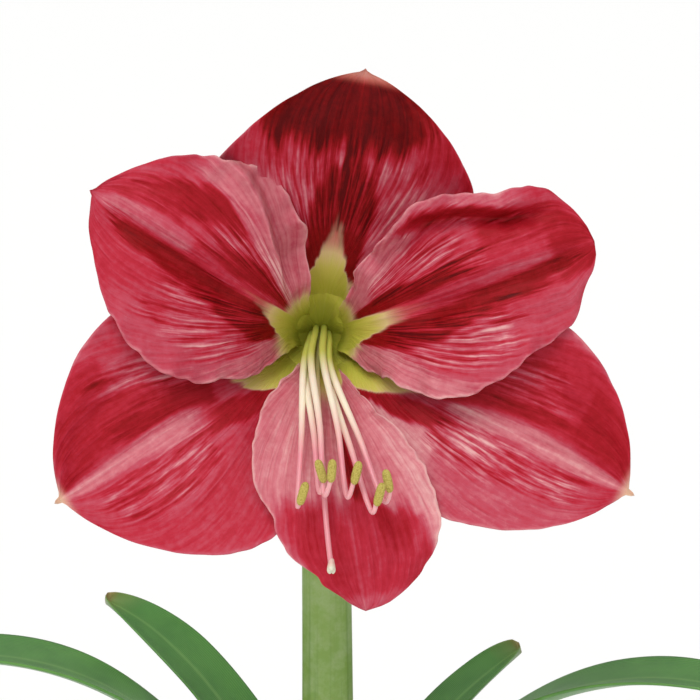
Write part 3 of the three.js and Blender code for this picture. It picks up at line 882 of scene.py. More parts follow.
@dataclass(frozen=True)
class Stalk(Finish):
    """Living stalk, ovary or tube: smooth mid-green under a thin waxy bloom, with faint lines along it."""

    roughness: float = 0.42
    specular: float = 0.4
    bump: tuple[float, float] = (0.25, 0.4)
    subsurface: float = 0.12
    wax: float = 7.0
    stops: Stops = ((0.0, "#8FA65A"), (0.25, "#7E9E4C"), (0.7, "#86A654"), (1.0, "#9DB568"))
    lines: float = 26.0

    def paint(self, add: NodeAdder) -> Painted:
        """A ramp along the stalk, paler where the wax lies in clouds, with drawn-out lines.

        Args:
            add: Adds a node to the material's tree and gives back one of its outputs.

        Returns:
            The colour, and the height for the bump or None.
        """
        along = add("Attribute", attribute_name="along", out="Fac")
        green = add("ValToRGB", {"Fac": along}, self.stops)
        waxed = tinted(add, green, "#B5C59B", clouds(add, self.wax, 6.0, 0.65), 0.42, 0.7, 0.38)
        streak = drawn_out(add, 3.0, self.lines, 2.0)
        return tinted(add, waxed, "#5E8236", streak, 0.5, 0.75, 0.4), streak


@dataclass(frozen=True)
class LeafBlade(Finish):
    """Amaryllis leaf: satin, fleshy, mid-green with fine parallel veins, a paler foot and a dry tip."""

    roughness: float = 0.38
    specular: float = 0.45
    bump: tuple[float, float] = (0.3, 0.15)
    subsurface: float = 0.08
    mottling: float = 14.0
    veins: float = 34.0

    def paint(self, add: NodeAdder) -> Painted:
        """A ramp along the leaf, parallel veins as cos(2 pi N v), a pale midline and soft mottling.

        Args:
            add: Adds a node to the material's tree and gives back one of its outputs.

        Returns:
            The colour, and the height for the bump or None.
        """
        chart = add("UVMap", uv_map="surface")
        length = add("SeparateXYZ", {0: chart}, out="X")
        across = add("SeparateXYZ", {0: chart}, out="Y")
        stops = (
            (0.0, "#C3CB8E"), (0.1, "#7FA349"), (0.35, "#4F8A38"), (0.93, "#437D31"), (0.985, "#6B8440"),
            (1.0, "#A58A55"),
        )
        green = add("ValToRGB", {"Fac": length}, stops)
        turns = add("Math", {0: across, 1: 2 * math.pi * self.veins}, operation="MULTIPLY")
        wave = add("Math", {0: turns}, operation="COSINE")
        lined = tinted(add, green, "#7DAE57", wave, 0.1, 1.0, 0.3)
        mottled = tinted(add, lined, "#2F6626", clouds(add, self.mottling, 5.0, 0.6), 0.4, 0.75, 0.5)
        middle = add("Math", {0: across, 1: 0.5}, operation="SUBTRACT")
        aside = add("Math", {0: middle}, operation="ABSOLUTE")
        return tinted(add, mottled, "#8DB866", aside, 0.05, 0.0, 0.35), wave


@dataclass(frozen=True)
class BudSkin(Finish):
    """Closed petals of a bud: satin rose over green, with fine veins that run from the ovary to the tip."""

    roughness: float = 0.42
    specular: float = 0.25
    bump: tuple[float, float] = (0.3, 0.4)
    subsurface: float = 0.1
    veins: float = 48.0

    def paint(self, add: NodeAdder) -> Painted:
        """A ramp from the green ovary to the pink tip, darker along veins and greener along each midrib.

        Args:
            add: Adds a node to the material's tree and gives back one of its outputs.

        Returns:
            The colour, and the height for the bump or None.
        """
        along = add("Attribute", attribute_name="along", out="Fac")
        stops = ((0.1, "#7C9C49"), (0.26, "#A9B074"), (0.38, "#CB8E88"), (0.62, "#C95367"), (1.0, "#B23049"))
        ramp = add("ValToRGB", {"Fac": along}, stops)
        ridge = add("Attribute", attribute_name="ridge", out="Fac")
        green = tinted(add, ramp, "#A3A566", ridge, 0.75, 1.0, 0.55)
        streak = drawn_out(add, 3.5, self.veins, 2.0)
        red = tinted(add, green, "#A32840", streak, 0.45, 0.7, 0.55)
        foot = add("MapRange", {"Value": along, "From Min": 0.16, "From Max": 0.3})
        whole = add("Mix", {"Factor": foot, 6: ramp, 7: red}, data_type="RGBA", out=2)
        return whole, streak


# The pot, soil and bulb


@dataclass(frozen=True)
class Pot:
    """A plain turned clay pot with a collar rim and three drain holes."""

    height: float = 118.0
    rim_radius: float = 77.0
    rim_height: float = 27.0
    body_top: float = 70.0
    body_foot: float = 52.0
    wall: float = 6.0
    floor: float = 7.0
    drain_count: int = 3
    drain_radius: float = 5.5
    drain_ring: float = 27.0
    sides: int = 144

    def inside(self, z: float) -> float:
        """Inner radius at a height."""
        return mix(self.body_foot - self.wall, self.rim_radius - self.wall - 2.5, z / self.height)

    def shell(self, soil_top: float) -> Surface:
        """Outer wall, rim and inner wall: a turned profile with faint turning rings and a little wobble.

        Args:
            soil_top: Height of the soil's top, in millimetres.

        Returns:
            The walls, without the floor.
        """
        collar = self.height - self.rim_height
        corners = [
            (self.body_foot - 2, 0.0),
            (self.body_foot, 2.0),
            (self.body_top, collar - 2),
            (self.rim_radius - 2.5, collar),
            (self.rim_radius - 1.5, collar + 2),
            (self.rim_radius, self.height - 3),
            (self.rim_radius - 2, self.height),
            (self.rim_radius - self.wall, self.height),
            (self.rim_radius - self.wall - 1.5, self.height - 2),
            (self.inside(soil_top), soil_top),
            (self.inside(self.floor), self.floor),
        ]
        line = profile(corners, 1.0, rounding=1.6)
        ends = ease(np.linspace(0, 40, len(line))) * ease(np.linspace(40, 0, len(line)))
        turn = np.arange(self.sides) / self.sides
        lathe = 0.14 * np.sin(2 * np.pi * line[:, 1] / 3.1) + 0.1 * lattice_noise(line[:, 1] / 1.7, 0.0, 70)
        wobble = 0.35 * lattice_noise(turn[None, :] * 8, line[:, 1][:, None] / 22, 71, period=8)
        radius = line[:, :1] + ends[:, None] * (lathe[:, None] + wobble)
        return sheet(turned_rings(radius, line[:, 1], self.sides))

    def floor_sector(self, number: int) -> list[Surface]:
        """A third of the floor: rings that grow from a drain hole's edge to the sector's own outline.

        The outline runs along the wall and back through the middle. The hole's points lie in the directions
        of the outline's points, seen from the hole's middle.

        Args:
            number: Number of the third, from 0.

        Returns:
            The surfaces of the sector.
        """
        share = 2 * math.pi / self.drain_count
        arc = share * (number - 0.5) + np.linspace(0, share, self.sides // self.drain_count + 1)
        inward = np.linspace(1, 0, 13)[1:]
        scale = np.concatenate([np.ones(len(arc)), inward, inward[::-1][1:]])
        angle = np.concatenate([arc, np.full(len(inward), arc[-1]), np.full(len(inward) - 1, arc[0])])
        outline = np.stack([scale * np.cos(angle), scale * np.sin(angle)], -1)
        centre = self.drain_ring * np.array([math.cos(share * number), math.sin(share * number)])
        edge = centre + self.drain_radius * unit(outline * self.body_foot - centre)
        grow = np.array([0.0, 0.12, 0.3, 0.55, 1.0])[:, None, None]
        faces = []
        for radius, z in ((self.body_foot - 2, 0.0), (self.inside(self.floor), self.floor)):
            flat = mix(edge[None], outline[None] * radius, grow)
            faces.append(np.concatenate([flat, np.full(flat.shape[:2] + (1,), z)], -1))
        under, over = faces
        return [sheet(under[::-1]), sheet(over), sheet(np.stack([under[0], over[0]]))]

    def build(self, soil_top: float) -> None:
        """Makes the pot.

        Args:
            soil_top: Height of the soil's top, in millimetres.
        """
        parts = [self.shell(soil_top)]
        for number in range(self.drain_count):
            parts += self.floor_sector(number)
        clay = Terracotta("unglazed terracotta").material()
        make_piece("pot_turned_clay", welded(joined(parts)), clay, ["pot"])


@dataclass(frozen=True)
class Bulb:
    """A round bulb that narrows to a neck, in a papery brown tunic that flakes and frays at its top."""

    foot: float = 57.0
    radius: float = 44.0
    neck_radius: float = 21.0
    top: float = 153.0
    pocket_radius: float = 18.0
    pocket_depth: float = 11.0
    sides: int = 220

    def outline(self, count: int) -> Array:
        """The side of the bulb as (radius, height) pairs, from its basal plate to its neck.

        Args:
            count: Number of pairs.

        Returns:
            The pairs, shape (count, 2), in millimetres.
        """
        equator = self.foot + self.radius * 0.98
        knots = [
            (self.radius * 0.4, self.foot),
            (self.radius * 0.86, self.foot + self.radius * 0.38),
            (self.radius, equator),
            (self.radius * 0.86, equator + self.radius * 0.5),
            (self.neck_radius * 1.2, self.top - 20),
            (self.neck_radius, self.top),
        ]
        return spline(knots, count)

    def body(self) -> Surface:
        """The ribbed body: folds of the tunic run from the plate to the neck, and its top edge is torn.

        Returns:
            The body.
        """
        side = self.outline(110)
        hollow = self.pocket_radius
        lip = np.array([[self.neck_radius - 0.9, 1.0], [hollow + 0.7, 0.8], [hollow, -0.6]])
        wall = np.stack([np.full(5, hollow), np.linspace(-3.0, -self.pocket_depth, 5)], -1)
        rest = np.concatenate([lip, wall]) + [0.0, self.top]
        line = np.concatenate([side, rest])
        turn = np.arange(self.sides) / self.sides
        height = line[:, 1][:, None]
        outer = (np.arange(len(line)) < len(side))[:, None]
        drift = 0.012 * lattice_noise(turn[None, :] * 12, height / 18, 30, period=12)
        drifting = turn[None, :] + drift
        folds = 0.32 * np.cos(2 * np.pi * 37 * drifting)
        folds = folds + 0.5 * lattice_noise(drifting * 26, height / 60, 31, period=26)
        dents = 0.8 * lattice_noise(turn[None, :] * 7, height / 24, 32, period=7)
        radius = line[:, :1] + outer * (folds + dents) * ease((height - self.foot) / 8)
        torn = 1.5 * lattice_noise(turn * 17, 0.0, 33, period=17)
        torn = torn + 0.9 * lattice_noise(turn * 51, 0.0, 34, period=51)
        near_top = ease((height - self.top + 7) / 7)
        rings = turned_rings(radius, height + near_top * (torn - 0.6)[None, :], self.sides)
        return skin(rings)

    def flake(self, number: int) -> Surface:
        """A loose scale of tunic that lies over the body: a curved blade with a frayed outline.

        At (u, v) it stands at the body's radius plus a lift that grows towards its margins and tip.

        Args:
            number: Number of the scale, which seeds its random draws.

        Returns:
            The scale.
        """
        draw = np.random.default_rng(400 + number)
        side = self.outline(200)
        middle = 2.4 * number + draw.uniform(-0.4, 0.4)
        low, high = draw.uniform(104, 112), draw.uniform(140, 157)
        u, v = blade_grid(46, 31)
        breadth = draw.uniform(0.55, 0.8) * (1 - np.clip((u - 0.25) / 0.75, 0, 1) ** 2.2) ** 0.8
        frayed = breadth * (1 + 0.1 * lattice_noise(u * 15, v + 4, 410 + number))
        z = mix(low, high, u)
        body = np.interp(z, side[:, 1], side[:, 0])
        body = body - np.clip(z - self.top, 0, None) * 0.1
        lift = 0.9 + 0.5 * (number % 4) + 1.6 * np.abs(v) ** 3 * u + 1.1 * ease((u - 0.8) / 0.2)
        lift = lift + 0.3 * lattice_noise(v * 9 + 30, u * 3, 420 + number)
        sheets = []
        for depth in (0.0, -0.35):
            r = body + lift + depth
            turn = middle + frayed * v * self.radius * 0.9 / np.maximum(body, 22)
            sheets.append(np.stack([r * np.cos(turn), r * np.sin(turn), z], -1))
        return blade(u, v, sheets[0], sheets[1])

    def neck_scale(self) -> Surface:
        """The fleshy inner scale that shows inside the torn neck, as a short ring with a wavy top.

        Returns:
            The scale.
        """
        turn = np.arange(96) / 96
        wave = 1.4 * lattice_noise(turn * 9, 0.0, 35, period=9)
        outer, inner = self.pocket_radius - 0.25, self.pocket_radius - 1.35
        crest = (mix(inner, outer, 0.5), 2.0)
        line = np.array([(inner, -10.6), (outer, -10.6), (outer, 1.4), crest, (inner, 1.4)])
        top = (line[:, 1] > 0)[:, None] * wave[None, :]
        grid = turned_rings(line[:, 0], self.top + line[:, 1][:, None] + top, 96)
        ring = sheet(np.concatenate([grid, grid[:1]]))
        return welded(ring)

    def build(self) -> None:
        """Makes the bulb with its flakes and the scale inside its neck."""
        tunic = Papery("papery bulb tunic").material()
        make_piece("bulb_tunic_body", self.body(), tunic, ["bulb"])
        for number in range(6):
            make_piece(f"bulb_tunic_flake_{number + 1}", self.flake(number), tunic)
        fleshy = Mottled(
            "fleshy neck scale", roughness=0.5, specular=0.4, subsurface=0.15, crumb=5.0,
            stops=((0.3, "#B9B277"), (0.55, "#D3CB98"), (0.8, "#E4DDB6")),
        )
        make_piece("bulb_neck_scale", self.neck_scale(), fleshy.material())


@dataclass(frozen=True)
class Soil:
    """Potting soil round the bulb: a crumbly top with loose peat crumbs and grains of perlite."""

    top: float = 101.0
    seat: float = 0.3
    sides: int = 300
    rings: int = 34
    crumbs: int = 620
    perlite: int = 70

    def height_at(self, x: Array, y: Array, edge: float) -> Array:
        """Height of the top: a slight crown towards the bulb, with swells that fade out at the wall.

        Args:
            x: Places along +X from the pot's axis, in millimetres.
            y: Places along +Y from it, in millimetres.
            edge: Radius of the soil's edge, in millimetres.

        Returns:
            The heights, in millimetres.
        """
        away = np.hypot(x, y)
        crown = np.interp(away, [0.72 * edge, 0.86 * edge, edge], [2.0, 1.0, 0.0])
        inward = ease((edge - away) / 8)
        swells = np.sin(x / 4.1) * np.cos(y / 5.3) + 0.6 * np.sin((x + y) / 3.1)
        fine = 0.8 * lattice_noise(x / 2.4 + 30, y / 2.4 + 30, 50)
        fine = fine + 0.5 * lattice_noise(x / 1.2 + 70, y / 1.2 + 70, 51)
        return self.top + crown + 1.1 * inward * swells + mix(0.4, 1.0, inward) * fine

    def body(self, pot: Pot, bulb: Bulb) -> Surface:
        """The soil as one closed body: pot wall outside, crumbly top, and the hollow that holds the bulb.

        Args:
            pot: The pot that holds the soil.
            bulb: The bulb that sits in it.

        Returns:
            The body.
        """
        low = pot.floor + self.seat
        edge = pot.inside(self.top) - self.seat
        outline = bulb.outline(120) + [self.seat, 0.0]
        hollow = outline[outline[:, 1] < self.top - 3][::-4]
        turn = np.linspace(0, 2 * np.pi, self.sides, endpoint=False)
        inner_edge = np.interp(self.top + 2, outline[:, 1], outline[:, 0])
        radii = np.linspace(edge, inner_edge, self.rings)[:, None] * np.ones((1, self.sides))
        x, y = radii * np.cos(turn), radii * np.sin(turn)
        top = np.stack([x, y, self.height_at(x, y, edge)], -1)
        foot = pot.inside(low)
        start = np.array([[foot - self.seat, low], [mix(foot, edge, 0.5), mix(low, self.top, 0.5)]])
        below = turned_rings(start[:, 0], start[:, 1], self.sides)
        pocket = turned_rings(hollow[:, 0], hollow[:, 1], self.sides)
        return skin(np.concatenate([below, top, pocket]))

    def scattered(self, count: int, size: tuple[float, float], pot: Pot, bulb: Bulb, seed: int) -> Surface:
        """Lumps of a size range in millimetres, strewn over the top between the bulb and the wall.

        Args:
            count: Number of lumps.
            size: Smallest and largest size.
            pot: The pot that holds the soil.
            bulb: The bulb that sits in it.
            seed: Seed of the random draws.

        Returns:
            The lumps, each its own shell.
        """
        draw = np.random.default_rng(seed)
        edge = pot.inside(self.top) - self.seat
        away = np.sqrt(draw.uniform((bulb.radius + 1.0) ** 2, (edge - 1.6) ** 2, count))
        turn = draw.uniform(0, 2 * np.pi, count)
        x, y = away * np.cos(turn), away * np.sin(turn)
        half = draw.uniform(*size, (count, 1)) * draw.uniform(0.6, 1.1, (count, 3)) / 2
        z = self.height_at(x, y, edge) + 0.35 * half.mean(1)
        return lumps(np.stack([x, y, z], -1), half, seed + 1)

    def build(self, pot: Pot, bulb: Bulb) -> None:
        """Makes the soil, its loose crumbs and its perlite.

        Args:
            pot: The pot that holds the soil.
            bulb: The bulb that sits in it.
        """
        make_piece("soil_bed", self.body(pot, bulb), Mottled("moist peat").material(), ["soil"])
        loose = Mottled("loose peat crumbs", lumpy=True).material()
        pale = ((0.2, "#BDB6A8"), (0.5, "#DAD5CA"), (0.9, "#EFECE4"))
        white = Mottled("perlite grains", lumpy=True, crumb=0.8, stops=pale).material()
        for name, look, count, size, seed in (
            ("soil_crumbs", loose, self.crumbs, (1.6, 4.6), 60),
            ("soil_perlite", white, self.perlite, (1.2, 3.0), 62),
        ):
            make_piece(name, self.scattered(count, size, pot, bulb, seed), look)


# The scape and leaves


@dataclass(frozen=True)
class Scape:
    """The thick flower stalk, slightly oval, with a swollen head that carries the umbel."""

    base: tuple[float, float] = (0.0, -8.5)
    head: tuple[float, float, float] = (0.0, -6.0, 384.0)
    bend: tuple[float, float] = (1.5, -9.5)
    bend_share: float = 0.45
    half_width: float = 10.5
    half_depth: float = 8.0
    taper: float = 0.8
    swelling: float = 0.12
    rows: int = 160
    sides: int = 48

    def build(self, foot: float) -> None:
        """Makes the scape from the bulb's pocket, whose floor is at the height foot.

        Args:
            foot: Height of the pocket's floor, in millimetres.
        """
        middle = (*self.bend, mix(foot, self.head[2], self.bend_share))
        path = smooth_path([(*self.base, foot), middle, self.head], self.rows)
        t = np.linspace(0, 1, self.rows)
        slim = mix(1.0, self.taper, t) + self.swelling * ease((t - 0.93) / 0.07)
        slim = slim * (1 - 0.25 * np.clip((t - 0.985) / 0.015, 0, 1) ** 2)
        fluted = slim[:, None] * (1 + 0.012 * np.cos(9 * round_turn(self.sides)))
        rings = tube_rings(path, self.half_width * fluted, self.half_depth * fluted, self.sides)
        stops = ((0.0, "#A8A765"), (0.08, "#8DA455"), (0.6, "#7C9D49"), (1.0, "#93AE5E"))
        waxy = Stalk("waxy scape", stops=stops).material()
        make_piece("scape_stalk", skin(rings), waxy, ["scape"])


@dataclass(frozen=True)
class Leaf:
    """A strap leaf that leaves the neck upright, arches over and ends in a blunt tip."""

    name: str
    foot: tuple[float, float]
    heading: float
    length: float
    half_width: float
    climb: float
    arch: float
    twist: float = 0.0
    seed: int = 1
    rows: int = 150
    columns: int = 45

    def half_at(self, u: Array) -> Array:
        """Half-width: narrow at its foot, even in the middle, and closing as sqrt(1 - x^2.6) to its tip."""
        spread = mix(6 / self.half_width, 1.0, ease((u + 0.02) / 0.5))
        return self.half_width * spread * np.sqrt(1 - np.clip((u - 0.55) / 0.45, 0, 1) ** 2.6)

    def surface(self, foot_height: float) -> Surface:
        """The leaf as a closed blade.

        Its middle line climbs at an angle of climb - arch u^1.5. Across, it is a shallow channel with wavy
        margins and a soft keel below.

        Args:
            foot_height: Height at which the leaf starts, in millimetres.

        Returns:
            The leaf.
        """
        out, across = direction(self.heading), direction(self.heading + 90)
        u = np.linspace(0, 1, self.rows)
        mid = (u[1:] + u[:-1]) / 2
        step = np.radians(self.climb - self.arch * mid**1.5)
        moves = np.cos(step)[:, None] * out + np.sin(step)[:, None] * [0, 0, 1]
        moves = np.concatenate([np.zeros((1, 3)), moves * self.length / (self.rows - 1)])
        path = np.array([*self.foot, foot_height]) + np.cumsum(moves, 0)
        climb = np.radians(self.climb - self.arch * u**1.5)
        inner = -np.sin(climb)[:, None] * out + np.cos(climb)[:, None] * [0, 0, 1]
        lean = np.radians(self.twist) * ease(u)
        side = np.cos(lean)[:, None] * across + np.sin(lean)[:, None] * inner
        inner = np.cos(lean)[:, None] * inner - np.sin(lean)[:, None] * across
        grid_u, v = blade_grid(self.rows, self.columns)
        wave = np.sin(2 * np.pi * (2.3 * grid_u + 0.3 * np.sign(v) + 0.17 * self.seed))
        wave = wave * v**4 * ease((grid_u - 0.2) / 0.3)
        rise = mix(2.5, 3.5, ease(grid_u * 2)) * v * v + 0.7 * wave
        rise = rise + 0.25 * lattice_noise(grid_u * 9, v * 2, self.seed)
        thick = mix(2.8, 1.6, grid_u) * mix(1.0, 0.45, v * v) / 2
        keel = 0.5 * bell(v, 0.0, 0.14) * (1 - ease((grid_u - 0.7) / 0.3))
        at = path[:, None, :] + (self.half_at(grid_u) * v)[..., None] * side[:, None, :]
        front = at + (rise + thick)[..., None] * inner[:, None, :]
        back = at + (rise - thick - keel)[..., None] * inner[:, None, :]
        return blade(grid_u, v, front, back)


LEAVES = (
    Leaf("leaf_left_outer", (-11, 5.5), 194, 285, 21, 80, 130, twist=6, seed=1),
    Leaf("leaf_right_outer", (11, 5.5), -16, 270, 20, 80, 122, twist=-7, seed=2),
    Leaf("leaf_left_inner", (-5.4, 6.5), 156, 180, 18, 84, 68, twist=5, seed=3),
    Leaf("leaf_right_inner", (5.2, 6.5), 24, 155, 17, 83, 58, twist=-4, seed=4),
)


# The bloom


@dataclass(frozen=True)
class Placement:
    """Where the bloom is: the middle of its tube's floor, and the way that it faces."""

    seat: tuple[float, float, float] = (3.0, -56.0, 412.0)
    tilt: float = 12.0
    turn: float = 4.0

    def axes(self) -> Array:
        """Unit vectors to the right, up and forward of the bloom, as rows.

        Returns:
            The three vectors, shape (3, 3).
        """
        forward = direction(self.turn - 90.0, self.tilt)
        right = unit(np.cross([0.0, 0.0, 1.0], forward))
        return np.array([right, np.cross(forward, right), forward])

    def to_plant(self, points: Array) -> Array:
        """Points of the bloom's frame in the plant's frame."""
        return np.asarray(points, float) @ self.axes() + np.array(self.seat)


@dataclass(frozen=True)
class Funnel:
    """The surface of revolution that every tepal lies on, about +Z of the bloom's own frame.

    Its generator starts at the tube and turns from steep to nearly level. Its slope after a run t is
    base + (rim - base) * ease((t - start) / (end - start)) ^ sharpness, and its radius and depth are the sums
    of the slope's cosine and sine.
    """

    tube_radius: float = 5.2
    base_slope: float = 79.0
    rim_slope: float = 2.0
    turn_start: float = 10.0
    turn_end: float = 118.0
    sharpness: float = 0.82
    length: float = 160.0
    step: float = 0.25
    lean_reach: float = 62.0
    leans: tuple[tuple[float, float], ...] = (
        (79.6, 14.0),
        (212.8, -5.0),
        (279.7, 5.0),
        (332.8, -5.0),
    )

    def slope(self, run: Array) -> Array:
        """Slope of the generator after a run, in radians."""
        turn = ease((run - self.turn_start) / (self.turn_end - self.turn_start)) ** self.sharpness
        return np.radians(mix(self.base_slope, self.rim_slope, turn))

    def generator(self) -> tuple[Array, Array, Array]:
        """Run, radius and depth along the generator, summed at half steps.

        Returns:
            Run, radius and depth, in millimetres.
        """
        run = np.arange(0.0, self.length, self.step)
        slope = self.slope(run[:-1] + self.step / 2)
        radius = self.tube_radius + np.concatenate([[0.0], np.cumsum(np.cos(slope))]) * self.step
        depth = np.concatenate([[0.0], np.cumsum(np.sin(slope))]) * self.step
        return run, radius, depth

    def run_at(self, radius: Array | float) -> Array:
        """Run of the generator at a radius."""
        run, radii, _ = self.generator()
        return np.interp(radius, radii, run)

    def radius_at(self, run: Array | float) -> Array:
        """Radius of the generator after a run."""
        runs, radii, _ = self.generator()
        return np.interp(run, runs, radii)

    def place(self, x: Array, y: Array, height: Array) -> Array:
        """The funnel's points seen at (x, y), lifted off it along its normal.

        The depth is the generator's at that radius, plus each lean, which fades in towards the rim and with
        the square of a cosine away from its direction.

        Args:
            x: place to the right, in the bloom's frame.
            y: place upwards.
            height: distance off the funnel, positive towards the viewer.

        Returns:
            Points in the bloom's frame.
        """
        run, radii, depths = self.generator()
        radius = np.maximum(np.hypot(x, y), 1e-6)
        slope = self.slope(np.interp(radius, radii, run))
        toward = np.degrees(np.arctan2(y, x))
        depth = np.interp(radius, radii, depths)
        outer = ease((radius - 12.0) / 75.0)
        for heading, lean in self.leans:
            off = ((toward - heading + 180.0) % 360.0 - 180.0) / self.lean_reach
            depth = depth + lean * outer * np.where(np.abs(off) < 1, np.cos(np.pi * off / 2) ** 2, 0.0)
        inward = np.sin(slope) * height / radius
        return np.stack([x - x * inward, y - y * inward, depth + np.cos(slope) * height], -1)


FUNNEL = Funnel()
# Heights off the funnel in millimetres, at the tube and beyond
LAYER = {Whorl.INNER: (0.7, 3.9), Whorl.OUTER: (-0.8, -9.3)}
# The veins of a tepal spread from this far off the bloom's axis, at this angle in radians to each other
VEIN_HUB, VEIN_ANGLE = 9.0, 0.05
# The green lining of the throat ends this far from the bloom's axis
THROAT_RADIUS = 11.0


@dataclass(frozen=True)
class Side:
    """One side of a tepal, from its midrib to its margin."""

    width: float
    widest: float
    rise: float
    p: float
    q: float
    base: float
    span: float
    curl: float = 0.0
    waves: float = 0.0
    swing: float = 0.0
    phase: float = 0.0
    bites: tuple[tuple[float, float, float], ...] = ()

    def half_width(self, u: Array, midrib: Array) -> Array:
        """Distance from the midrib to the margin.

        It rises from the tube by a half cosine, is held under the span that keeps it clear of its neighbour,
        and closes to the tip as (1 - x^p)^q. Each bite takes a bell out of it: place, depth and breadth.

        Args:
            u: 0 to 1 along the tepal.
            midrib: the midrib's distance from the bloom's axis there.

        Returns:
            The half-width in millimetres.
        """
        on_tube = math.radians(self.base) * FUNNEL.tube_radius
        rising = 0.5 - 0.5 * np.cos(np.pi * np.minimum(u / self.widest, 1.0) ** self.rise)
        widening = mix(on_tube, self.width, rising)
        past = np.clip((u - self.widest) / (1 - self.widest), 0.0, 1.0)
        most = math.radians(self.span) * midrib
        closing = (1 - past**self.p) ** self.q
        half = closing * widening * (1 + (widening / most) ** 10) ** -0.1
        for place, depth, breadth in self.bites:
            half = half - depth * bell(u, place, breadth) * np.minimum(1.0, closing * 4)
        return np.maximum(half, 0.0)

    def margin(self, u: Array, edge: Array) -> Array:
        """Height near the margin: waves along it, over a curl that grows as the cube of the way out."""
        wave = self.swing * np.sin(2 * np.pi * (self.waves * u + self.phase))
        return wave * edge**2.2 + self.curl * edge**3


@dataclass(frozen=True)
class Crease:
    """A ridge or groove along a line of the tepal.

    The line runs straight in (u, v) from start to end. Across it the height is a bell of a width in
    millimetres, and beyond the line, towards the margin, the face may also fall or rise by a step. Its tone
    is added along the line itself, and below 0 it is a painted highlight on the fold's ridge.
    """

    start: tuple[float, float]
    end: tuple[float, float]
    height: float = 0.0
    width: float = 3.0
    step: float = 0.0
    fade: float = 0.2
    tone: float = 0.0

    def weights(self, u: Array, v: Array, half: Array) -> tuple[Array, Array]:
        """How far each point belongs to the line itself, and to what lies beyond it, from 0 to 1.

        Args:
            u: Places along the tepal, from 0 to 1.
            v: Places across it, from -1 to 1.
            half: Half the tepal's width at each point, in millimetres.

        Returns:
            The weight of the line and the weight of what lies beyond it.
        """
        t = (u - self.start[0]) / (self.end[0] - self.start[0])
        line = mix(self.start[1], self.end[1], np.clip(t, 0, 1))
        off = (v - line) * half
        beyond = off * (1.0 if self.start[1] + self.end[1] > 0 else -1.0)
        within = ease(t / self.fade) * ease((1 - t) / self.fade)
        return np.exp(-((off / self.width) ** 2)) * within, ease(beyond / (1.6 * self.width)) * within


@dataclass(frozen=True)
class Marking:
    """A marking that lies between two vein numbers, which are given at a few distances from the bloom's axis.

    Attributes:
        outline: rows of distance in millimetres, lowest vein and highest vein.
        value: tone to reach, or strength of the streaks.
        strength: how fully it covers what is under it.
        soft: breadth of its side edges, in veins.
        ragged: how far its edges and its end follow single veins.
        fade: length over which it ends, in millimetres.
        rise: length over which it begins.
    """

    outline: tuple[tuple[float, float, float], ...]
    value: float
    strength: float = 1.0
    soft: float = 1.4
    ragged: float = 0.8
    fade: float = 9.0
    rise: float = 3.0

    def weight(self, reach: Array, vein: Array, line: Array) -> Array:
        """How far each point belongs to the marking, from 0 to its strength.

        Args:
            reach: Distances from the bloom's axis, in millimetres.
            vein: Number of the vein that passes each point.
            line: Noise drawn out along the veins, by which the edges stray.

        Returns:
            The weights.
        """
        places, lowest, highest = np.array(self.outline).T
        stray = self.ragged * line
        above = (vein - np.interp(reach, places, lowest) + stray) / self.soft + 0.5
        below = (np.interp(reach, places, highest) - vein + stray) / self.soft + 0.5
        start = (reach - places[0] + 0.5 * self.rise * stray) / self.rise + 0.5
        end = (places[-1] - reach + 9.0 * stray) / self.fade + 0.5
        return self.strength * ease(above) * ease(below) * ease(start) * ease(end)


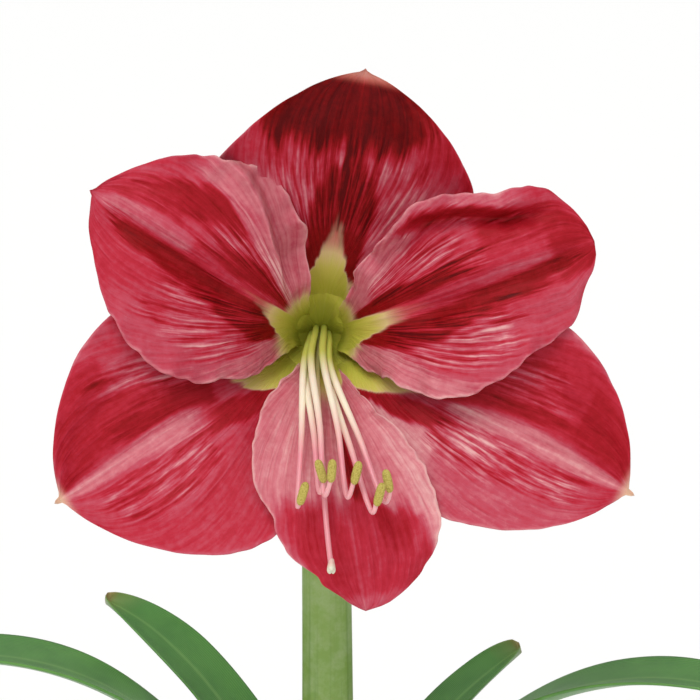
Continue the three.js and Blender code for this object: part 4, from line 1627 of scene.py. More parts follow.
@dataclass(frozen=True)
class Tepal:
    """One tepal: a patch of the funnel round a midrib, with its relief and its colours."""

    name: str
    whorl: Whorl
    heading: float
    reach: float
    left: Side
    right: Side
    keel: float
    tip: float
    ray: Marking
    body: float = 0.42
    markings: tuple[Marking, ...] = ()
    streaks: tuple[Marking, ...] = ()
    sway: float = 0.0
    hood: float = 0.0
    creases: tuple[Crease, ...] = ()
    pale_tip: float = 0.0
    frill: float = 0.4
    point: float = 2.5
    seed: int = 1
    rows: int = 160
    columns: int = 121
    thickness: float = 0.8

    def relief(self, u: Array, v: Array, half: Array) -> Array:
        """Height of the front off the funnel: layer, channel, waved margin and tip.

        Args:
            u: 0 to 1 along the tepal.
            v: -1 to 1 across it, positive on the left.
            half: the half-width of that side. The channel is shallow where the tepal is narrow.

        Returns:
            Heights in millimetres.
        """
        edge = np.abs(v)
        lowest, beyond = LAYER[self.whorl]
        layer = mix(lowest, beyond, ease(u / 0.6))
        channel = self.keel * ease(u / 0.5) * ease(half / 14) * (np.sqrt(v * v + 0.015) - 0.1225)
        margin = np.where(v > 0, self.left.margin(u, edge), self.right.margin(u, edge))
        middle = ease((u - 0.15) / 0.35) * (1 - ease((u - 0.86) / 0.16))
        ends = self.tip * ease((u - 0.72) / 0.28) ** 1.5 + self.hood * np.clip((u - 0.6) / 0.4, 0, 1) ** 1.8
        return layer + channel + margin * middle + ends

    def folds(self, u: Array, v: Array, half: Array) -> Array:
        """Height that the creases add.

        Args:
            u: Places along the tepal, from 0 to 1.
            v: Places across it, from -1 to 1.
            half: Half the tepal's width at each point, in millimetres.

        Returns:
            The heights, in millimetres.
        """
        height = np.zeros_like(u)
        for crease in self.creases:
            line, beyond = crease.weights(u, v, half)
            height = height + crease.height * line + crease.step * beyond
        return height

    def fan(self, along: Array, across: Array, v: Array) -> Array:
        """Number of the vein that passes each point, counted from the midrib.

        Veins spread like rays from a point on the midrib near the throat, and bend a little towards the tip:
        the number is (0.7 angle + 0.27 v) / VEIN_ANGLE, where the angle is about that point.
        """
        angle = np.arctan2(across, np.maximum(along - VEIN_HUB, 3.0))
        return (0.7 * angle + 0.27 * v) / VEIN_ANGLE

    def fine_relief(self, u: Array, v: Array, fan: Array) -> Array:
        """Soft corrugations along the veins, and crinkles that grow towards the margin.

        Args:
            u: Places along the tepal, from 0 to 1.
            v: Places across it, from -1 to 1.
            fan: Number of the vein that passes each point.

        Returns:
            The heights, in millimetres.
        """
        grown = ease((u - 0.12) / 0.3) * (1 - 0.7 * ease((u - 0.9) / 0.1))
        ribs = 0.24 * lattice_noise(fan / 2 + 32, u * 5, self.seed)
        ribs = (ribs + 0.1 * lattice_noise(fan + 32, u * 8, self.seed)) * (0.6 + 1.1 * np.abs(v))
        crinkle = 0.4 * lattice_noise(u * 13, v * 8 + 9, self.seed + 10)
        hem = 2.0 * self.frill * lattice_noise(u * 26, v * 2 + 3, self.seed + 20) * np.abs(v) ** 5
        return grown * (ribs + crinkle + hem)

    def surface(self, placement: Placement) -> Surface:
        """The tepal as a closed blade.

        A point at distance s across from the midrib lies on an arc about the bloom's axis near the tube, and
        on a flatter and flatter arc further out. Past the outline's own end the tip is drawn out to a point.

        Args:
            placement: where the bloom is.

        Returns:
            The blade in the plant's frame, with its colour marks: pigment, and in places painted shade and
            highlight.
        """
        u, v = blade_grid(self.rows, self.columns)
        u = u**0.92
        run = FUNNEL.run_at(self.reach)
        long_run = FUNNEL.run_at(self.reach + self.point)
        midrib = FUNNEL.radius_at(u * long_run)
        share = np.minimum(u * long_run / run, 1.0)
        plain = FUNNEL.radius_at(share * run)
        half = np.where(v > 0, self.left.half_width(share, plain), self.right.half_width(share, plain))
        frayed = 0.8 * lattice_noise(u * 19, np.sign(v) + 2, self.seed + 50)
        frayed = frayed + 0.5 * lattice_noise(u * 47, np.sign(v) + 2, self.seed + 51)
        half = half + self.frill * frayed * ease((half - 3) / 5)
        half = np.maximum(half, 1.9 * np.sqrt(np.clip((1 - u) / 0.05, 0, 1)))
        out = v * half
        bow = (1 - 0.65 * ease((u - 0.15) / 0.6)) / midrib
        across = np.sin(bow * out) / bow
        along = midrib - (1 - np.cos(bow * out)) / bow
        heading = np.radians(self.heading + self.sway * (1 - ease(u / 0.7)))
        c, s = np.cos(heading), np.sin(heading)
        x, y = along * c - across * s, along * s + across * c
        fan = self.fan(midrib, out, v)
        height = self.relief(u, v, half) + self.folds(u, v, half) + self.fine_relief(u, v, fan)
        thick = self.thickness * (1 - 0.5 * np.abs(v) ** 6)
        front = placement.to_plant(FUNNEL.place(x, y, height))
        back = placement.to_plant(FUNNEL.place(x, y, height - thick))
        return blade(u, v, front, back, self.marks(u, v, midrib, half, fan))

    def marks(self, u: Array, v: Array, midrib: Array, half: Array, fan: Array) -> dict[str, Array]:
        """The broad colour pattern: tone, star and veining.

        The body's tone is overlaid by one marking after another. Where a deep marking ends, pale and dark
        streaks alternate along the veins. The green ray of the star lies over them all. Some markings are
        painted shade along folds and under the hood; a crease's tone is a painted highlight, and the paler
        hem is partly one.

        Args:
            u: 0 to 1 along the tepal.
            v: -1 to 1 across it.
            midrib: the midrib's distance from the bloom's axis.
            half: the half-width of that side.
            fan: number of the vein.

        Returns:
            Marks from 0 to about 1, with the vein's number and the run along it.
        """
        away = np.abs(v) * half
        broad = lattice_noise(fan * 0.35 + 31, midrib / 22, self.seed + 30)
        streak = lattice_noise(fan * 0.75 + 31, midrib / 19, self.seed + 31)
        fine = lattice_noise(fan * 1.7 + 31, midrib / 12, self.seed + 40)
        line = 0.6 * streak + 0.4 * fine
        tone = self.body + 0.05 * broad + 0.04 * line
        streaks = np.full_like(tone, 0.05)
        for marking in self.streaks:
            streaks = np.maximum(streaks, marking.value * marking.weight(midrib, fan, line))
        for marking in self.markings:
            weight = marking.weight(midrib, fan, line)
            edge = 4 * weight * (marking.strength - weight)
            streaks = np.maximum(streaks, 0.7 * edge * np.clip(marking.value - 0.5, 0, 0.3))
            tone = mix(tone, marking.value, weight)
        tone = tone + 0.45 * streaks * line
        # Each crease's tone along its line: below 0 it is a painted highlight on the fold's ridge.
        for crease in self.creases:
            tone = tone + crease.tone * crease.weights(u, v, half)[0]
        green = self.ray.weight(midrib, fan, line)
        ray_end = self.ray.outline[-1][0]
        outward = np.clip((midrib - VEIN_HUB) / (ray_end - VEIN_HUB), 0, 1)
        glow = mix(self.ray.value, 0.8, ease(1.1 - 1.25 * outward))
        throat = 1 - ease((midrib - THROAT_RADIUS + 1.2 * line) / 5.5)
        star = np.maximum(green * glow, throat * mix(0.55, 1.0, ease((13 - midrib) / 6)))
        rib = 0.07 * np.exp(-((away / 0.7) ** 2)) * ease((midrib - ray_end) / 6)
        # Paler hem along the margin: partly the tepal's own pale edge, partly a painted highlight along it.
        hem = 0.14 * ease((np.abs(v) - 0.955) / 0.04) * (1 - ease((u - 0.85) / 0.1))
        white = self.pale_tip * ease((u - 0.955) / 0.03)
        tone = np.clip(tone - rib - hem, -0.05, 1.05) * (1 - white)
        star = np.maximum(star, 0.15 * white)
        return {"tone": tone, "star": star, "veining": streaks * (1 - white), "fan": fan, "run": midrib / 10}


TEPALS = (
    Tepal(
        "tepal_outer_top", Whorl.OUTER, 79.6, 82.0,
        Side(49, 0.66, 1, 1.3, 0.75, 56, 65, curl=3),
        Side(47, 0.66, 1, 1.9, 0.75, 50, 52, curl=3),
        keel=3, tip=4, hood=11, pale_tip=0.6, point=1.0, seed=1, body=0.46,
        ray=Marking((
            (10, -20, 20), (14, -13, 15), (17, -7, 8), (20, -4.5, 5), (24, -2, 2.5), (27, -0.8, 1.2),
        ), 0.1, fade=4),
        markings=(
            Marking(((12, 8, 24), (30, 9, 24), (45, 9, 24), (54, 11, 24)), 0.27, soft=4),
            Marking(((12, -24, -7), (30, -24, -7.5), (45, -24, -7), (52, -24, -9)), 0.3, soft=4),
            Marking(((46, -4, 1), (52, -5, 1.5), (58, -3, 1)), 0.3, strength=0.7, soft=3, ragged=1.5),
            Marking((
                (12, 9, 17), (16, 6, 13), (20, 4, 9.5), (25, 1.5, 8), (30, -1, 6.8), (36, -3, 6),
                (44, -3, 3.5), (54, -2, 1),
            ), 0.84, ragged=1.4, fade=12),
            Marking((
                (12, -17, -9), (16, -13, -6), (20, -9, -3.5), (25, -8, -1), (30, -6.5, 1), (36, -5.5, 2),
                (44, -4.5, 1), (54, -3, 0),
            ), 0.84, ragged=1.4, fade=12),
            # These two deepen the hood: partly the tepal's own crimson, partly painted shade where it curls
            # forward.
            Marking(((58, -7, 10), (62, -8, 12), (68, -10, 13), (84, -12, 13)), 0.94, soft=4, rise=10),
            Marking(((58, -22, -9), (84, -22, -9)), 0.66, strength=0.8, soft=4, rise=12),
        ),
        streaks=(
            Marking(((28, -11, 11), (40, -11, 12), (60, -11, 12)), 0.2, soft=4),
        ),
        creases=(
            Crease((0.35, 0.02), (0.95, 0.03), height=-1.4, width=5),
            Crease((0.45, -0.42), (0.92, -0.3), height=-1.8, width=6),
            Crease((0.45, 0.4), (0.92, 0.34), height=1.4, width=7),
        ),
    ),
    Tepal(
        "tepal_outer_lower_left", Whorl.OUTER, 212.8, 98.5,
        Side(49, 0.66, 1, 1.7, 0.8, 56, 56, curl=2, waves=2, swing=1),
        Side(41.5, 0.62, 1, 2.2, 0.8, 56, 65, curl=-2),
        keel=8.5, tip=-6, pale_tip=1.0, sway=5.0, seed=2, body=0.43,
        ray=Marking((
            (10, -24, 24), (16, -17, 14), (20, -11, 7), (23, -5.5, 3), (25.5, -3, 0),
        ), 0.4, ragged=0.3, fade=4),
        markings=(
            # Dull, darker rose over the lower half: painted shade where it lies in shadow by the bottom
            # tepal.
            Marking(((30, 7, 26), (50, 7, 26), (100, 5, 26)), 0.45, strength=0.9, soft=4, fade=14),
            Marking((
                (44, -6.5, -0.8), (60, -7, -1.6), (75, -8, -1.4), (85, -8, -1.1), (96, -7, -0.7),
            ), 0.6, soft=1.6),
            Marking(((66, -11.5, -8), (84, -12, -7)), 0.58, strength=0.8, soft=2.5),
            Marking((
                (18, 4, 13), (25, 2.5, 9), (30, 1.5, 7.5), (36, 1, 6), (44, 1.5, 4),
            ), 0.7, ragged=1.2, fade=12),
            Marking((
                (34, -6, 0), (42, -5, -0.6), (50, -4.6, -1), (60, -4.6, -1.6), (72, -4.4, -2),
            ), 0.7, fade=14),
            Marking((
                (42, -1.4, 3), (48, -1.5, 2.6), (54, -1.3, 2.1), (70, -0.9, 1.5), (85, -0.6, 1.2),
                (97, -0.7, 1.6),
            ), 0.16, strength=0.85, soft=1.2, ragged=0.4, rise=12),
        ),
        streaks=(
            Marking(((45, 2, 8), (60, 2, 8.5), (88, 1.5, 7)), 0.22, soft=3),
            Marking(((44, -11, -5), (72, -10, -7)), 0.22, soft=3),
        ),
        creases=(
            Crease((0.5, 0.0), (0.98, 0.0), height=-1.2, width=3),
            Crease((0.5, -0.5), (0.95, -0.42), height=-1.8, width=6),
            Crease((0.45, 0.45), (0.9, 0.4), height=1.8, width=7),
        ),
    ),
    Tepal(
        "tepal_outer_lower_right", Whorl.OUTER, -27.2, 111.5,
        Side(39.5, 0.64, 1, 2.4, 0.8, 50, 50, curl=-2),
        Side(34.3, 0.6, 1, 2.4, 0.85, 56, 54, curl=2),
        keel=8.5, tip=-6, pale_tip=1.0, sway=-2.7, seed=3, body=0.42,
        ray=Marking((
            (10, -24, 24), (16, -17, 14), (20, -11.5, 10), (25, -6, 6), (30, -2.5, 3), (34, -1, 1),
        ), 0.25, ragged=0.3),
        markings=(
            Marking(((22, -26, -6), (40, -26, -5), (52, -26, -7), (62, -20, -10)), 0.12, soft=4, fade=16),
            Marking(((50, -16, -7), (100, -14, -5)), 0.3, strength=0.8, soft=3),
            Marking(((50, -8, -1), (100, -7, -1)), 0.34, strength=0.9, soft=2),
            Marking(((46, 2.5, 14), (64, 2.2, 12), (96, 1.4, 10), (112, 1, 6)), 0.56, soft=2),
            Marking(((88, 3, 9), (104, 1.5, 7), (113, 1, 4)), 0.68, strength=0.8, soft=2.5),
            Marking((
                (18, -15, -10.5), (25, -11, -6), (30, -9, -4.5), (36, -7, -2.4), (42, -5.5, -1.4),
                (50, -4, -1),
            ), 0.7, ragged=1.2, fade=12),
            Marking((
                (36, 0, 3), (45, -0.2, 3.6), (52, 0.4, 3.9), (60, 1.2, 4.1), (70, 1.9, 4.2), (82, 2.4, 4),
            ), 0.68, fade=16),
            Marking((
                (44, -1.7, 0), (54, -1.6, 1.2), (70, -1.1, 1.8), (85, -0.9, 1.5), (100, -0.8, 1),
                (110, -1, 1.2),
            ), 0.15, strength=0.85, soft=1.2, ragged=0.4),
        ),
        streaks=(
            Marking(((44, -8, -1.5), (60, -7.5, -1.3), (98, -5, -1)), 0.26, soft=2.5),
            Marking(((56, 3, 10), (84, 3, 9)), 0.2, soft=3),
        ),
        creases=(
            Crease((0.5, 0.0), (0.98, 0.0), height=-1.2, width=3),
            Crease((0.5, 0.5), (0.95, 0.42), height=-1.8, width=6),
        ),
    ),
    Tepal(
        "tepal_inner_upper_left", Whorl.INNER, 148.0, 84.0,
        Side(39, 0.58, 0.9, 2.2, 0.87, 50, 62, waves=1.6, swing=1.2, curl=-1.5, bites=((0.42, -2.5, 0.07),)),
        Side(33.5, 0.66, 1.22, 2.1, 0.75, 32, 64, waves=2.2, swing=1.2, phase=0.3),
        keel=-1.5, tip=-4, sway=3.8, frill=0.9, point=1.0, seed=4, body=0.46,
        ray=Marking((
            (10, -6, 26), (13, -3, 20), (16, -1.5, 13), (20, -0.5, 6.5), (23, 0.2, 3.2), (26, 0.6, 1.6),
        ), 0.05),
        markings=(
            Marking(((26, 13, 28), (50, 10, 28), (64, 9, 28)), 0.33, strength=0.8, soft=4, fade=14),
            Marking(((12, 15, 30), (22, 16, 30), (30, 18, 30)), 0.24, soft=3),
            # Painted shade along the fold, beside the upper margin's strip.
            Marking((
                (38, -11, -8), (45, -11, -7), (52, -10, -5.5), (60, -8.5, -4.2), (70, -6, -3.4),
            ), 0.7, soft=2.4),
            Marking(((56, -5.5, -2.6), (66, -5.5, -2.3), (80, -4, -1.6)), 0.6, soft=1.6),
            Marking((
                (12, -26, -8), (20, -26, -9), (30, -26, -9), (42, -26, -9.8), (50, -26, -10.4),
                (62, -26, -9.5),
            ), 0.24, soft=0.7, ragged=0.3),
            Marking((
                (10, -8, -4), (15, -8.4, -3.4), (20, -8.4, -3), (26, -8, -2), (33, -7, -1.6),
                (42, -5.6, -1.8),
            ), 0.74, ragged=1.0, fade=14),
            Marking((
                (12, 13, 19), (16, 8, 17), (19, 4, 16), (23, 2.2, 14), (28, 1.8, 11), (35, 1.4, 7.5),
                (45, 1, 5), (55, 0.8, 4.4), (64, 0.8, 4), (74, 0.6, 3),
            ), 0.82, ragged=1.0, fade=10),
            Marking((
                (50, -2.2, 0.2), (60, -2.6, 0.3), (70, -2.4, 0.6), (82, -2, 1.4),
            ), 0.3, soft=1.2, ragged=0.4),
        ),
        streaks=(
            Marking(((14, -14, -6), (24, -13, -6), (36, -11, -5), (48, -8, -3)), 0.24, soft=3),
            Marking(((20, 5, 18), (34, 4, 16), (52, 4, 11)), 0.26, soft=3),
        ),
        creases=(
            # Its tone of -0.05 lightens the fold's ridge: a painted highlight.
            Crease((0.34, -0.32), (0.8, -1.06), height=1.8, width=1.8, step=-7.5, tone=-0.05),
            Crease((0.45, 0.15), (0.97, 0.1), height=-4.2, width=5.5),
            Crease((0.6, -0.1), (1.0, -0.05), height=2.0, width=4.0),
            Crease((0.5, 0.55), (0.95, 0.5), height=-1.6, width=6.0),
        ),
    ),
    Tepal(
        "tepal_inner_upper_right", Whorl.INNER, 18.4, 92.0,
        Side(
            28.5, 0.66, 1.3, 2.6, 0.55, 32, 64, waves=3.4, swing=1.8, phase=0.1,
            bites=((0.66, -1.6, 0.05), (0.82, 2.6, 0.05), (0.92, -1.5, 0.05)),
        ),
        Side(
            35, 0.56, 1, 2.2, 0.58, 46, 52, waves=3, swing=1.4, curl=-1.5,
            bites=((0.78, 2.0, 0.05), (0.88, 0.5, 0.04), (0.95, 2.5, 0.03)),
        ),
        keel=-1.5, tip=-4, sway=-3.5, frill=1.2, point=0.0, seed=5, body=0.45,
        ray=Marking((
            (10, -26, 6), (13, -20, 4), (16, -13, 2), (20, -8, 1.2), (25, -5, 0.6), (30, -3.5, 0.5),
            (35, -2, 0),
        ), 0.02),
        markings=(
            Marking(((40, -26, -8), (60, -26, -6), (88, -14, -4)), 0.36, strength=0.9, soft=3),
            Marking(((12, -28, -14), (24, -28, -13.5), (40, -28, -14), (50, -28, -15)), 0.2, soft=3),
            Marking(((58, 4.5, 9), (70, 3.6, 8), (84, 2.5, 7)), 0.64, soft=2),
            Marking(((78, -4, 6), (94, -6, 6)), 0.66, soft=2),
            # Deep crimson strip along the groove under the upper margin: painted shadow of the fold.
            Marking((
                (38, 13, 15), (44, 11.8, 14), (50, 10.5, 12.6), (57, 8.8, 11.2), (64, 7.3, 9.6),
                (72, 5.8, 7.8),
            ), 0.8, soft=1.4, ragged=0.3),
            Marking((
                (32, 15, 28), (44, 14, 28), (50, 12.6, 28), (57, 11.2, 28), (64, 9.6, 28), (74, 7.8, 20),
            ), 0.28, soft=1.2, ragged=0.3),
            Marking(((12, 8, 28), (20, 8.4, 28), (28, 9, 28), (38, 11, 28)), 0.24, soft=1.6),
            Marking((
                (13, 2.5, 9), (17, 1.5, 8.4), (21, 1.2, 7.6), (26, 0.8, 7), (31, 0.6, 6.4), (36, 0.4, 5.6),
                (42, 1, 4.8), (50, 1.8, 3.8),
            ), 0.82, ragged=1.0, fade=14),
            Marking((
                (13, -17, -13), (17, -14.5, -10.5), (21, -13, -7.4), (26, -12.2, -5), (31, -11, -3.8),
                (36, -9.6, -2.8), (42, -7.8, -2.2), (50, -5.6, -1.8), (60, -4.4, -1.4), (72, -3.8, -0.8),
                (84, -3, -0.2),
            ), 0.8, ragged=1.0, fade=12),
        ),
        streaks=(
            Marking(((22, 5, 13), (40, 3, 11), (56, 1, 7)), 0.28, soft=3),
            Marking(((24, -15, -6), (40, -14, -5), (62, -11, -3)), 0.28, soft=3),
        ),
        creases=(
            Crease((0.42, 0.86), (0.95, 0.56), height=-3.6, width=3.0, step=4.5),
            Crease((0.45, -0.14), (1.0, -0.14), height=-3.8, width=5.0),
            Crease((0.5, 0.12), (1.0, 0.08), height=1.8, width=4.5),
            Crease((0.5, -0.6), (0.95, -0.55), height=-1.6, width=6.0),
        ),
    ),
    Tepal(
        "tepal_inner_bottom", Whorl.INNER, -80.3, 89.0,
        Side(29, 0.76, 1.75, 2.4, 0.62, 30, 42, waves=2.5, swing=1.5, curl=-2),
        Side(
            30, 0.62, 1.35, 1.8, 0.9, 30, 60, waves=3, swing=1.5, phase=0.4, curl=-2,
            bites=((0.73, 2.2, 0.04), (0.88, 1.2, 0.04)),
        ),
        keel=2.5, tip=-10, frill=1.1, point=0.0, seed=6, body=0.16,
        ray=Marking(((10, -26, 26), (16, -16, 14), (20, -12, 9), (24, -9, 6), (30, -6, 3)), 0.0, fade=12),
        markings=(
            Marking((
                (52, -10, 1), (58, -10.5, 5), (64, -10.5, 9), (72, -9.5, 9.5), (92, -14, 14),
            ), 0.5, soft=3, ragged=1.4, rise=9),
            Marking(((60, 4.5, 8.5), (70, 4.5, 8)), 0.64, strength=0.8, soft=2, rise=8),
            Marking(((56, -9, -5.5), (80, -8, -3)), 0.6, strength=0.7, soft=2),
            Marking(((60, -3, -0.8), (72, -3, -0.8)), 0.6, strength=0.7, soft=1.5),
            # These two stripes along the midrib, under the filaments: partly the tepal's own crimson, partly
            # painted shadow of the filaments.
            Marking((
                (30, 0.2, 1.3), (38, 0.2, 1.9), (45, 0.4, 2.3), (54, 0.8, 2.5),
            ), 0.85, soft=0.8, ragged=0.2, fade=4),
            Marking(((24, -5.2, -4), (36, -5, -3.8), (50, -4.8, -3.6)), 0.55, soft=1.0, ragged=0.2),
            Marking(((84, -20, 20), (93, -20, 20)), 0.3, strength=0.7),
        ),
        creases=(
            Crease((0.3, 0.06), (0.75, 0.06), height=-1.8, width=2.5),
            Crease((0.62, -0.55), (0.95, -0.5), height=-1.6, width=5.0),
            Crease((0.62, 0.5), (0.95, 0.42), height=-1.6, width=5.0),
        ),
    ),
)


@dataclass(frozen=True)
class Stamen:
    """A stamen: its filament starts on a ring round the style and ends under its anther, at (x, y, depth)."""

    number: int
    place: float
    x: float
    y: float
    depth: float
    ring: float = 2.8
    foot_radius: float = 0.95
    radius: float = 1.2
    tip_radius: float = 0.75
    anther_length: float = 7.3
    anther_radius: float = 1.4
    lean: float = 0.6
    hook: float = 2.6
    rows: int = 110

    def path(self) -> Array:
        """Middle line of the filament: up the tube, down over the lower tepals, and hooked up at its end.

        Returns:
            The points, in the bloom's own frame.
        """
        ring_x = self.ring * math.cos(math.radians(self.place))
        ring_y = self.ring * math.sin(math.radians(self.place))
        way_x = mix(1.8 * ring_x, self.x, 0.45)
        way_y = mix(-14, self.y, 0.55) + 0.6 * ring_y
        knots = [
            (ring_x, ring_y, 0.3),
            (1.15 * ring_x, 1.15 * ring_y - 2.5, 26.0),
            (1.6 * ring_x - 0.5, 1.2 * ring_y - 12.0, 50.0),
            (way_x, way_y, mix(52, self.depth, 0.62)),
            (self.x - self.hook * 0.35, self.y - self.hook, self.depth - 1.2),
            (self.x, self.y, self.depth),
        ]
        return smooth_path(knots, self.rows)

    def filament(self, placement: Placement) -> Surface:
        """The filament: it thickens from its foot, then tapers to its end.

        Args:
            placement: Where the bloom stands on the plant, and how it is turned.

        Returns:
            The filament.
        """
        t = np.linspace(0, 1, self.rows)
        thick = mix(self.foot_radius, self.radius, ease(t / 0.35))
        radius = mix(thick, self.tip_radius, ease((t - 0.35) / 0.65))
        return skin(tube_rings(placement.to_plant(self.path()), radius, radius, 16))

    def anther(self, placement: Placement) -> Surface:
        """The anther: an oval pod with a furrow down each face, r = R sqrt(1 - x^4) (1 - 0.22 sin^8 t).

        Args:
            placement: Where the bloom stands on the plant, and how it is turned.

        Returns:
            The anther.
        """
        end = self.path()[-1]
        foot = np.array([end[0], end[1] - 1, end[2] + 0.6])
        line = np.linspace(foot, foot + [self.lean, self.anther_length, 0.6], 32)
        x = np.linspace(-1, 1, 32)[:, None]
        turn = round_turn(20)
        radius = self.anther_radius * np.sqrt(1 - 0.985 * x**4) * (1 - 0.22 * np.sin(turn) ** 8)
        return skin(tube_rings(placement.to_plant(line), radius, radius * 0.85, 20))


STAMENS = (
    Stamen(1, 167, -5.6, -52.5, 84, lean=2.2, hook=1.5),
    Stamen(2, 219, 2.2, -45.5, 86, lean=-2.2, hook=4.0),
    Stamen(3, 116, 4.2, -45.2, 90, lean=0.6, hook=5.0),
    Stamen(4, 64, 11.2, -46.0, 86, lean=1.8, hook=5.0),
    Stamen(5, 321, 18.2, -52.6, 87, lean=2.0, hook=3.0),
    Stamen(6, 13, 22.6, -48.6, 84, lean=-1.6, hook=4.0),
)


@dataclass(frozen=True)
class Style:
    """The style, which runs up the middle of the filaments and on past them, and its three-lobed stigma."""

    radius: float = 0.85
    route: tuple[tuple[float, float, float], ...] = (
        (0.0, 0.0, 0.3),
        (-0.2, -2.8, 26.0),
        (-0.4, -15.0, 50.0),
        (1.6, -43.0, 72.0),
        (2.6, -58.0, 79.0),
        (4.3, -73.0, 84.0),
    )
    reach: float = 0.7
    lobe_radius: float = 1.0
    lobes: tuple[float, ...] = (90.0, 210.0, 330.0)
    rows: int = 110

    def stalk(self, placement: Placement) -> Surface:
        """The thin stalk.

        Args:
            placement: Where the bloom stands on the plant, and how it is turned.

        Returns:
            The stalk.
        """
        path = placement.to_plant(smooth_path(self.route, self.rows))
        radius = np.full(self.rows, self.radius)
        return skin(tube_rings(path, radius, radius, 14))

    def stigma(self, placement: Placement) -> Surface:
        """Three short round-ended lobes that part from the end of the stalk.

        Args:
            placement: Where the bloom stands on the plant, and how it is turned.

        Returns:
            The lobes, each its own shell.
        """
        end = np.array(self.route[-1])
        t = np.linspace(0, 1, 16)
        rounded = np.sqrt(1 - 0.96 * np.clip((t - 0.6) / 0.4, 0, 1) ** 2)
        radius = mix(self.radius, self.lobe_radius, t) * rounded
        parts = []
        for turn in np.radians(self.lobes):
            foot = end + [0.0, 2.6, -0.8]
            tip = end + [self.reach * math.cos(turn), 0.6 * math.sin(turn) - 1.4, 0.8 * math.sin(turn) + 0.8]
            parts.append(skin(tube_rings(placement.to_plant(np.linspace(foot, tip, 16)), radius, radius, 12)))
        return joined(parts)


@dataclass(frozen=True)
class Foot:
    """The foot of the bloom: the green tube that carries the tepals, and the ovary behind it."""

    tube_foot: float = -13.0
    foot_radius: float = 4.6
    top_radius: float = 6.9
    ovary_foot: float = -31.0
    ovary_radius: float = 6.8
    neck_radius: float = 4.2
    ribs: int = 3
    rib_height: float = 0.07
    lining: tuple[tuple[float, float], ...] = (
        (0.3, 9.0),
        (2.6, 10.0),
        (4.6, 12.5),
        (6.2, 15.5),
        (7.7, 19.0),
        (9.6, 22.0),
        (13.4, 24.5),
    )

    def tube(self, placement: Placement) -> Surface:
        """A cone with six soft flutes.

        Args:
            placement: Where the bloom stands on the plant, and how it is turned.

        Returns:
            The tube.
        """
        corners = [
            (0.4, self.tube_foot),
            (self.foot_radius, self.tube_foot),
            (self.foot_radius + 0.6, self.tube_foot + 4),
            (self.top_radius - 0.4, -2.0),
            (self.top_radius, -0.6),
            (self.top_radius - 2.0, -0.3),
            (0.4, -1.0),
        ]
        line = profile(corners, 0.5, rounding=0.8)
        turn = round_turn(72)
        flutes = 1 + 0.03 * np.cos(6 * turn) * ease(-line[:, 1:] / 2)
        rings = turned_rings(line[:, :1] * flutes, line[:, 1], 72)
        return skin(placement.to_plant(rings))

    def throat(self, placement: Placement) -> Surface:
        """The fleshy lining of the throat, where the six tepals run together round the filaments.

        It is a funnel whose rim runs into the tepals, 1.9 cos 3t further in at the inner ones than at the
        outer ones, and which is creased between them.

        Args:
            placement: Where the bloom stands on the plant, and how it is turned.

        Returns:
            The lining.
        """
        radius, depth = spline(self.lining, 8).T
        turn = round_turn(96)
        three = np.cos(3 * (turn - math.radians(28.5)))
        rising = ease((radius[:, None] - 2) / 6)
        creased = 0.9 * np.exp(-((three / 0.22) ** 2)) * rising * (1 - ease((radius[:, None] - 8) / 2))
        out = radius[:, None] + rising * (0.9 - 1.9 * three)
        ring = np.stack([out * np.cos(turn), out * np.sin(turn), depth[:, None] - creased + 0 * turn], -1)
        under = ring[::-1] - [0.0, 0.0, 1.2]
        rings = np.concatenate([ring, under])
        x, y, _ = np.moveaxis(rings, -1, 0)
        away = np.hypot(x, y)
        plain = np.full_like(away, 0.1)
        marks = {"star": mix(1.0, 0.74, ease((away - 2) / 7)), "tone": plain, "veining": plain}
        marks |= {"fan": np.degrees(np.arctan2(y, x)) / 4, "run": away / 10, "reverse": 0 * away}
        return skin(placement.to_plant(rings), marks)

    def ovary(self, placement: Placement) -> Surface:
        """A plump three-ribbed barrel: r sin^0.8 along it, times 1 + 0.07 cos 3t.

        Args:
            placement: Where the bloom stands on the plant, and how it is turned.

        Returns:
            The ovary.
        """
        t = np.linspace(0, 1, 44)
        z = mix(self.ovary_foot, self.tube_foot - 0.3, t)
        r = mix(self.neck_radius, self.ovary_radius, np.sin(np.pi * mix(0.05, 0.95, t)) ** 0.8)
        turn = round_turn(60)
        ridged = 1 + self.rib_height * np.cos(self.ribs * turn) - 0.05 * bell(np.cos(3 * turn), -1.0, 0.12)
        return skin(placement.to_plant(turned_rings(r[:, None] * ridged, z, 60)))


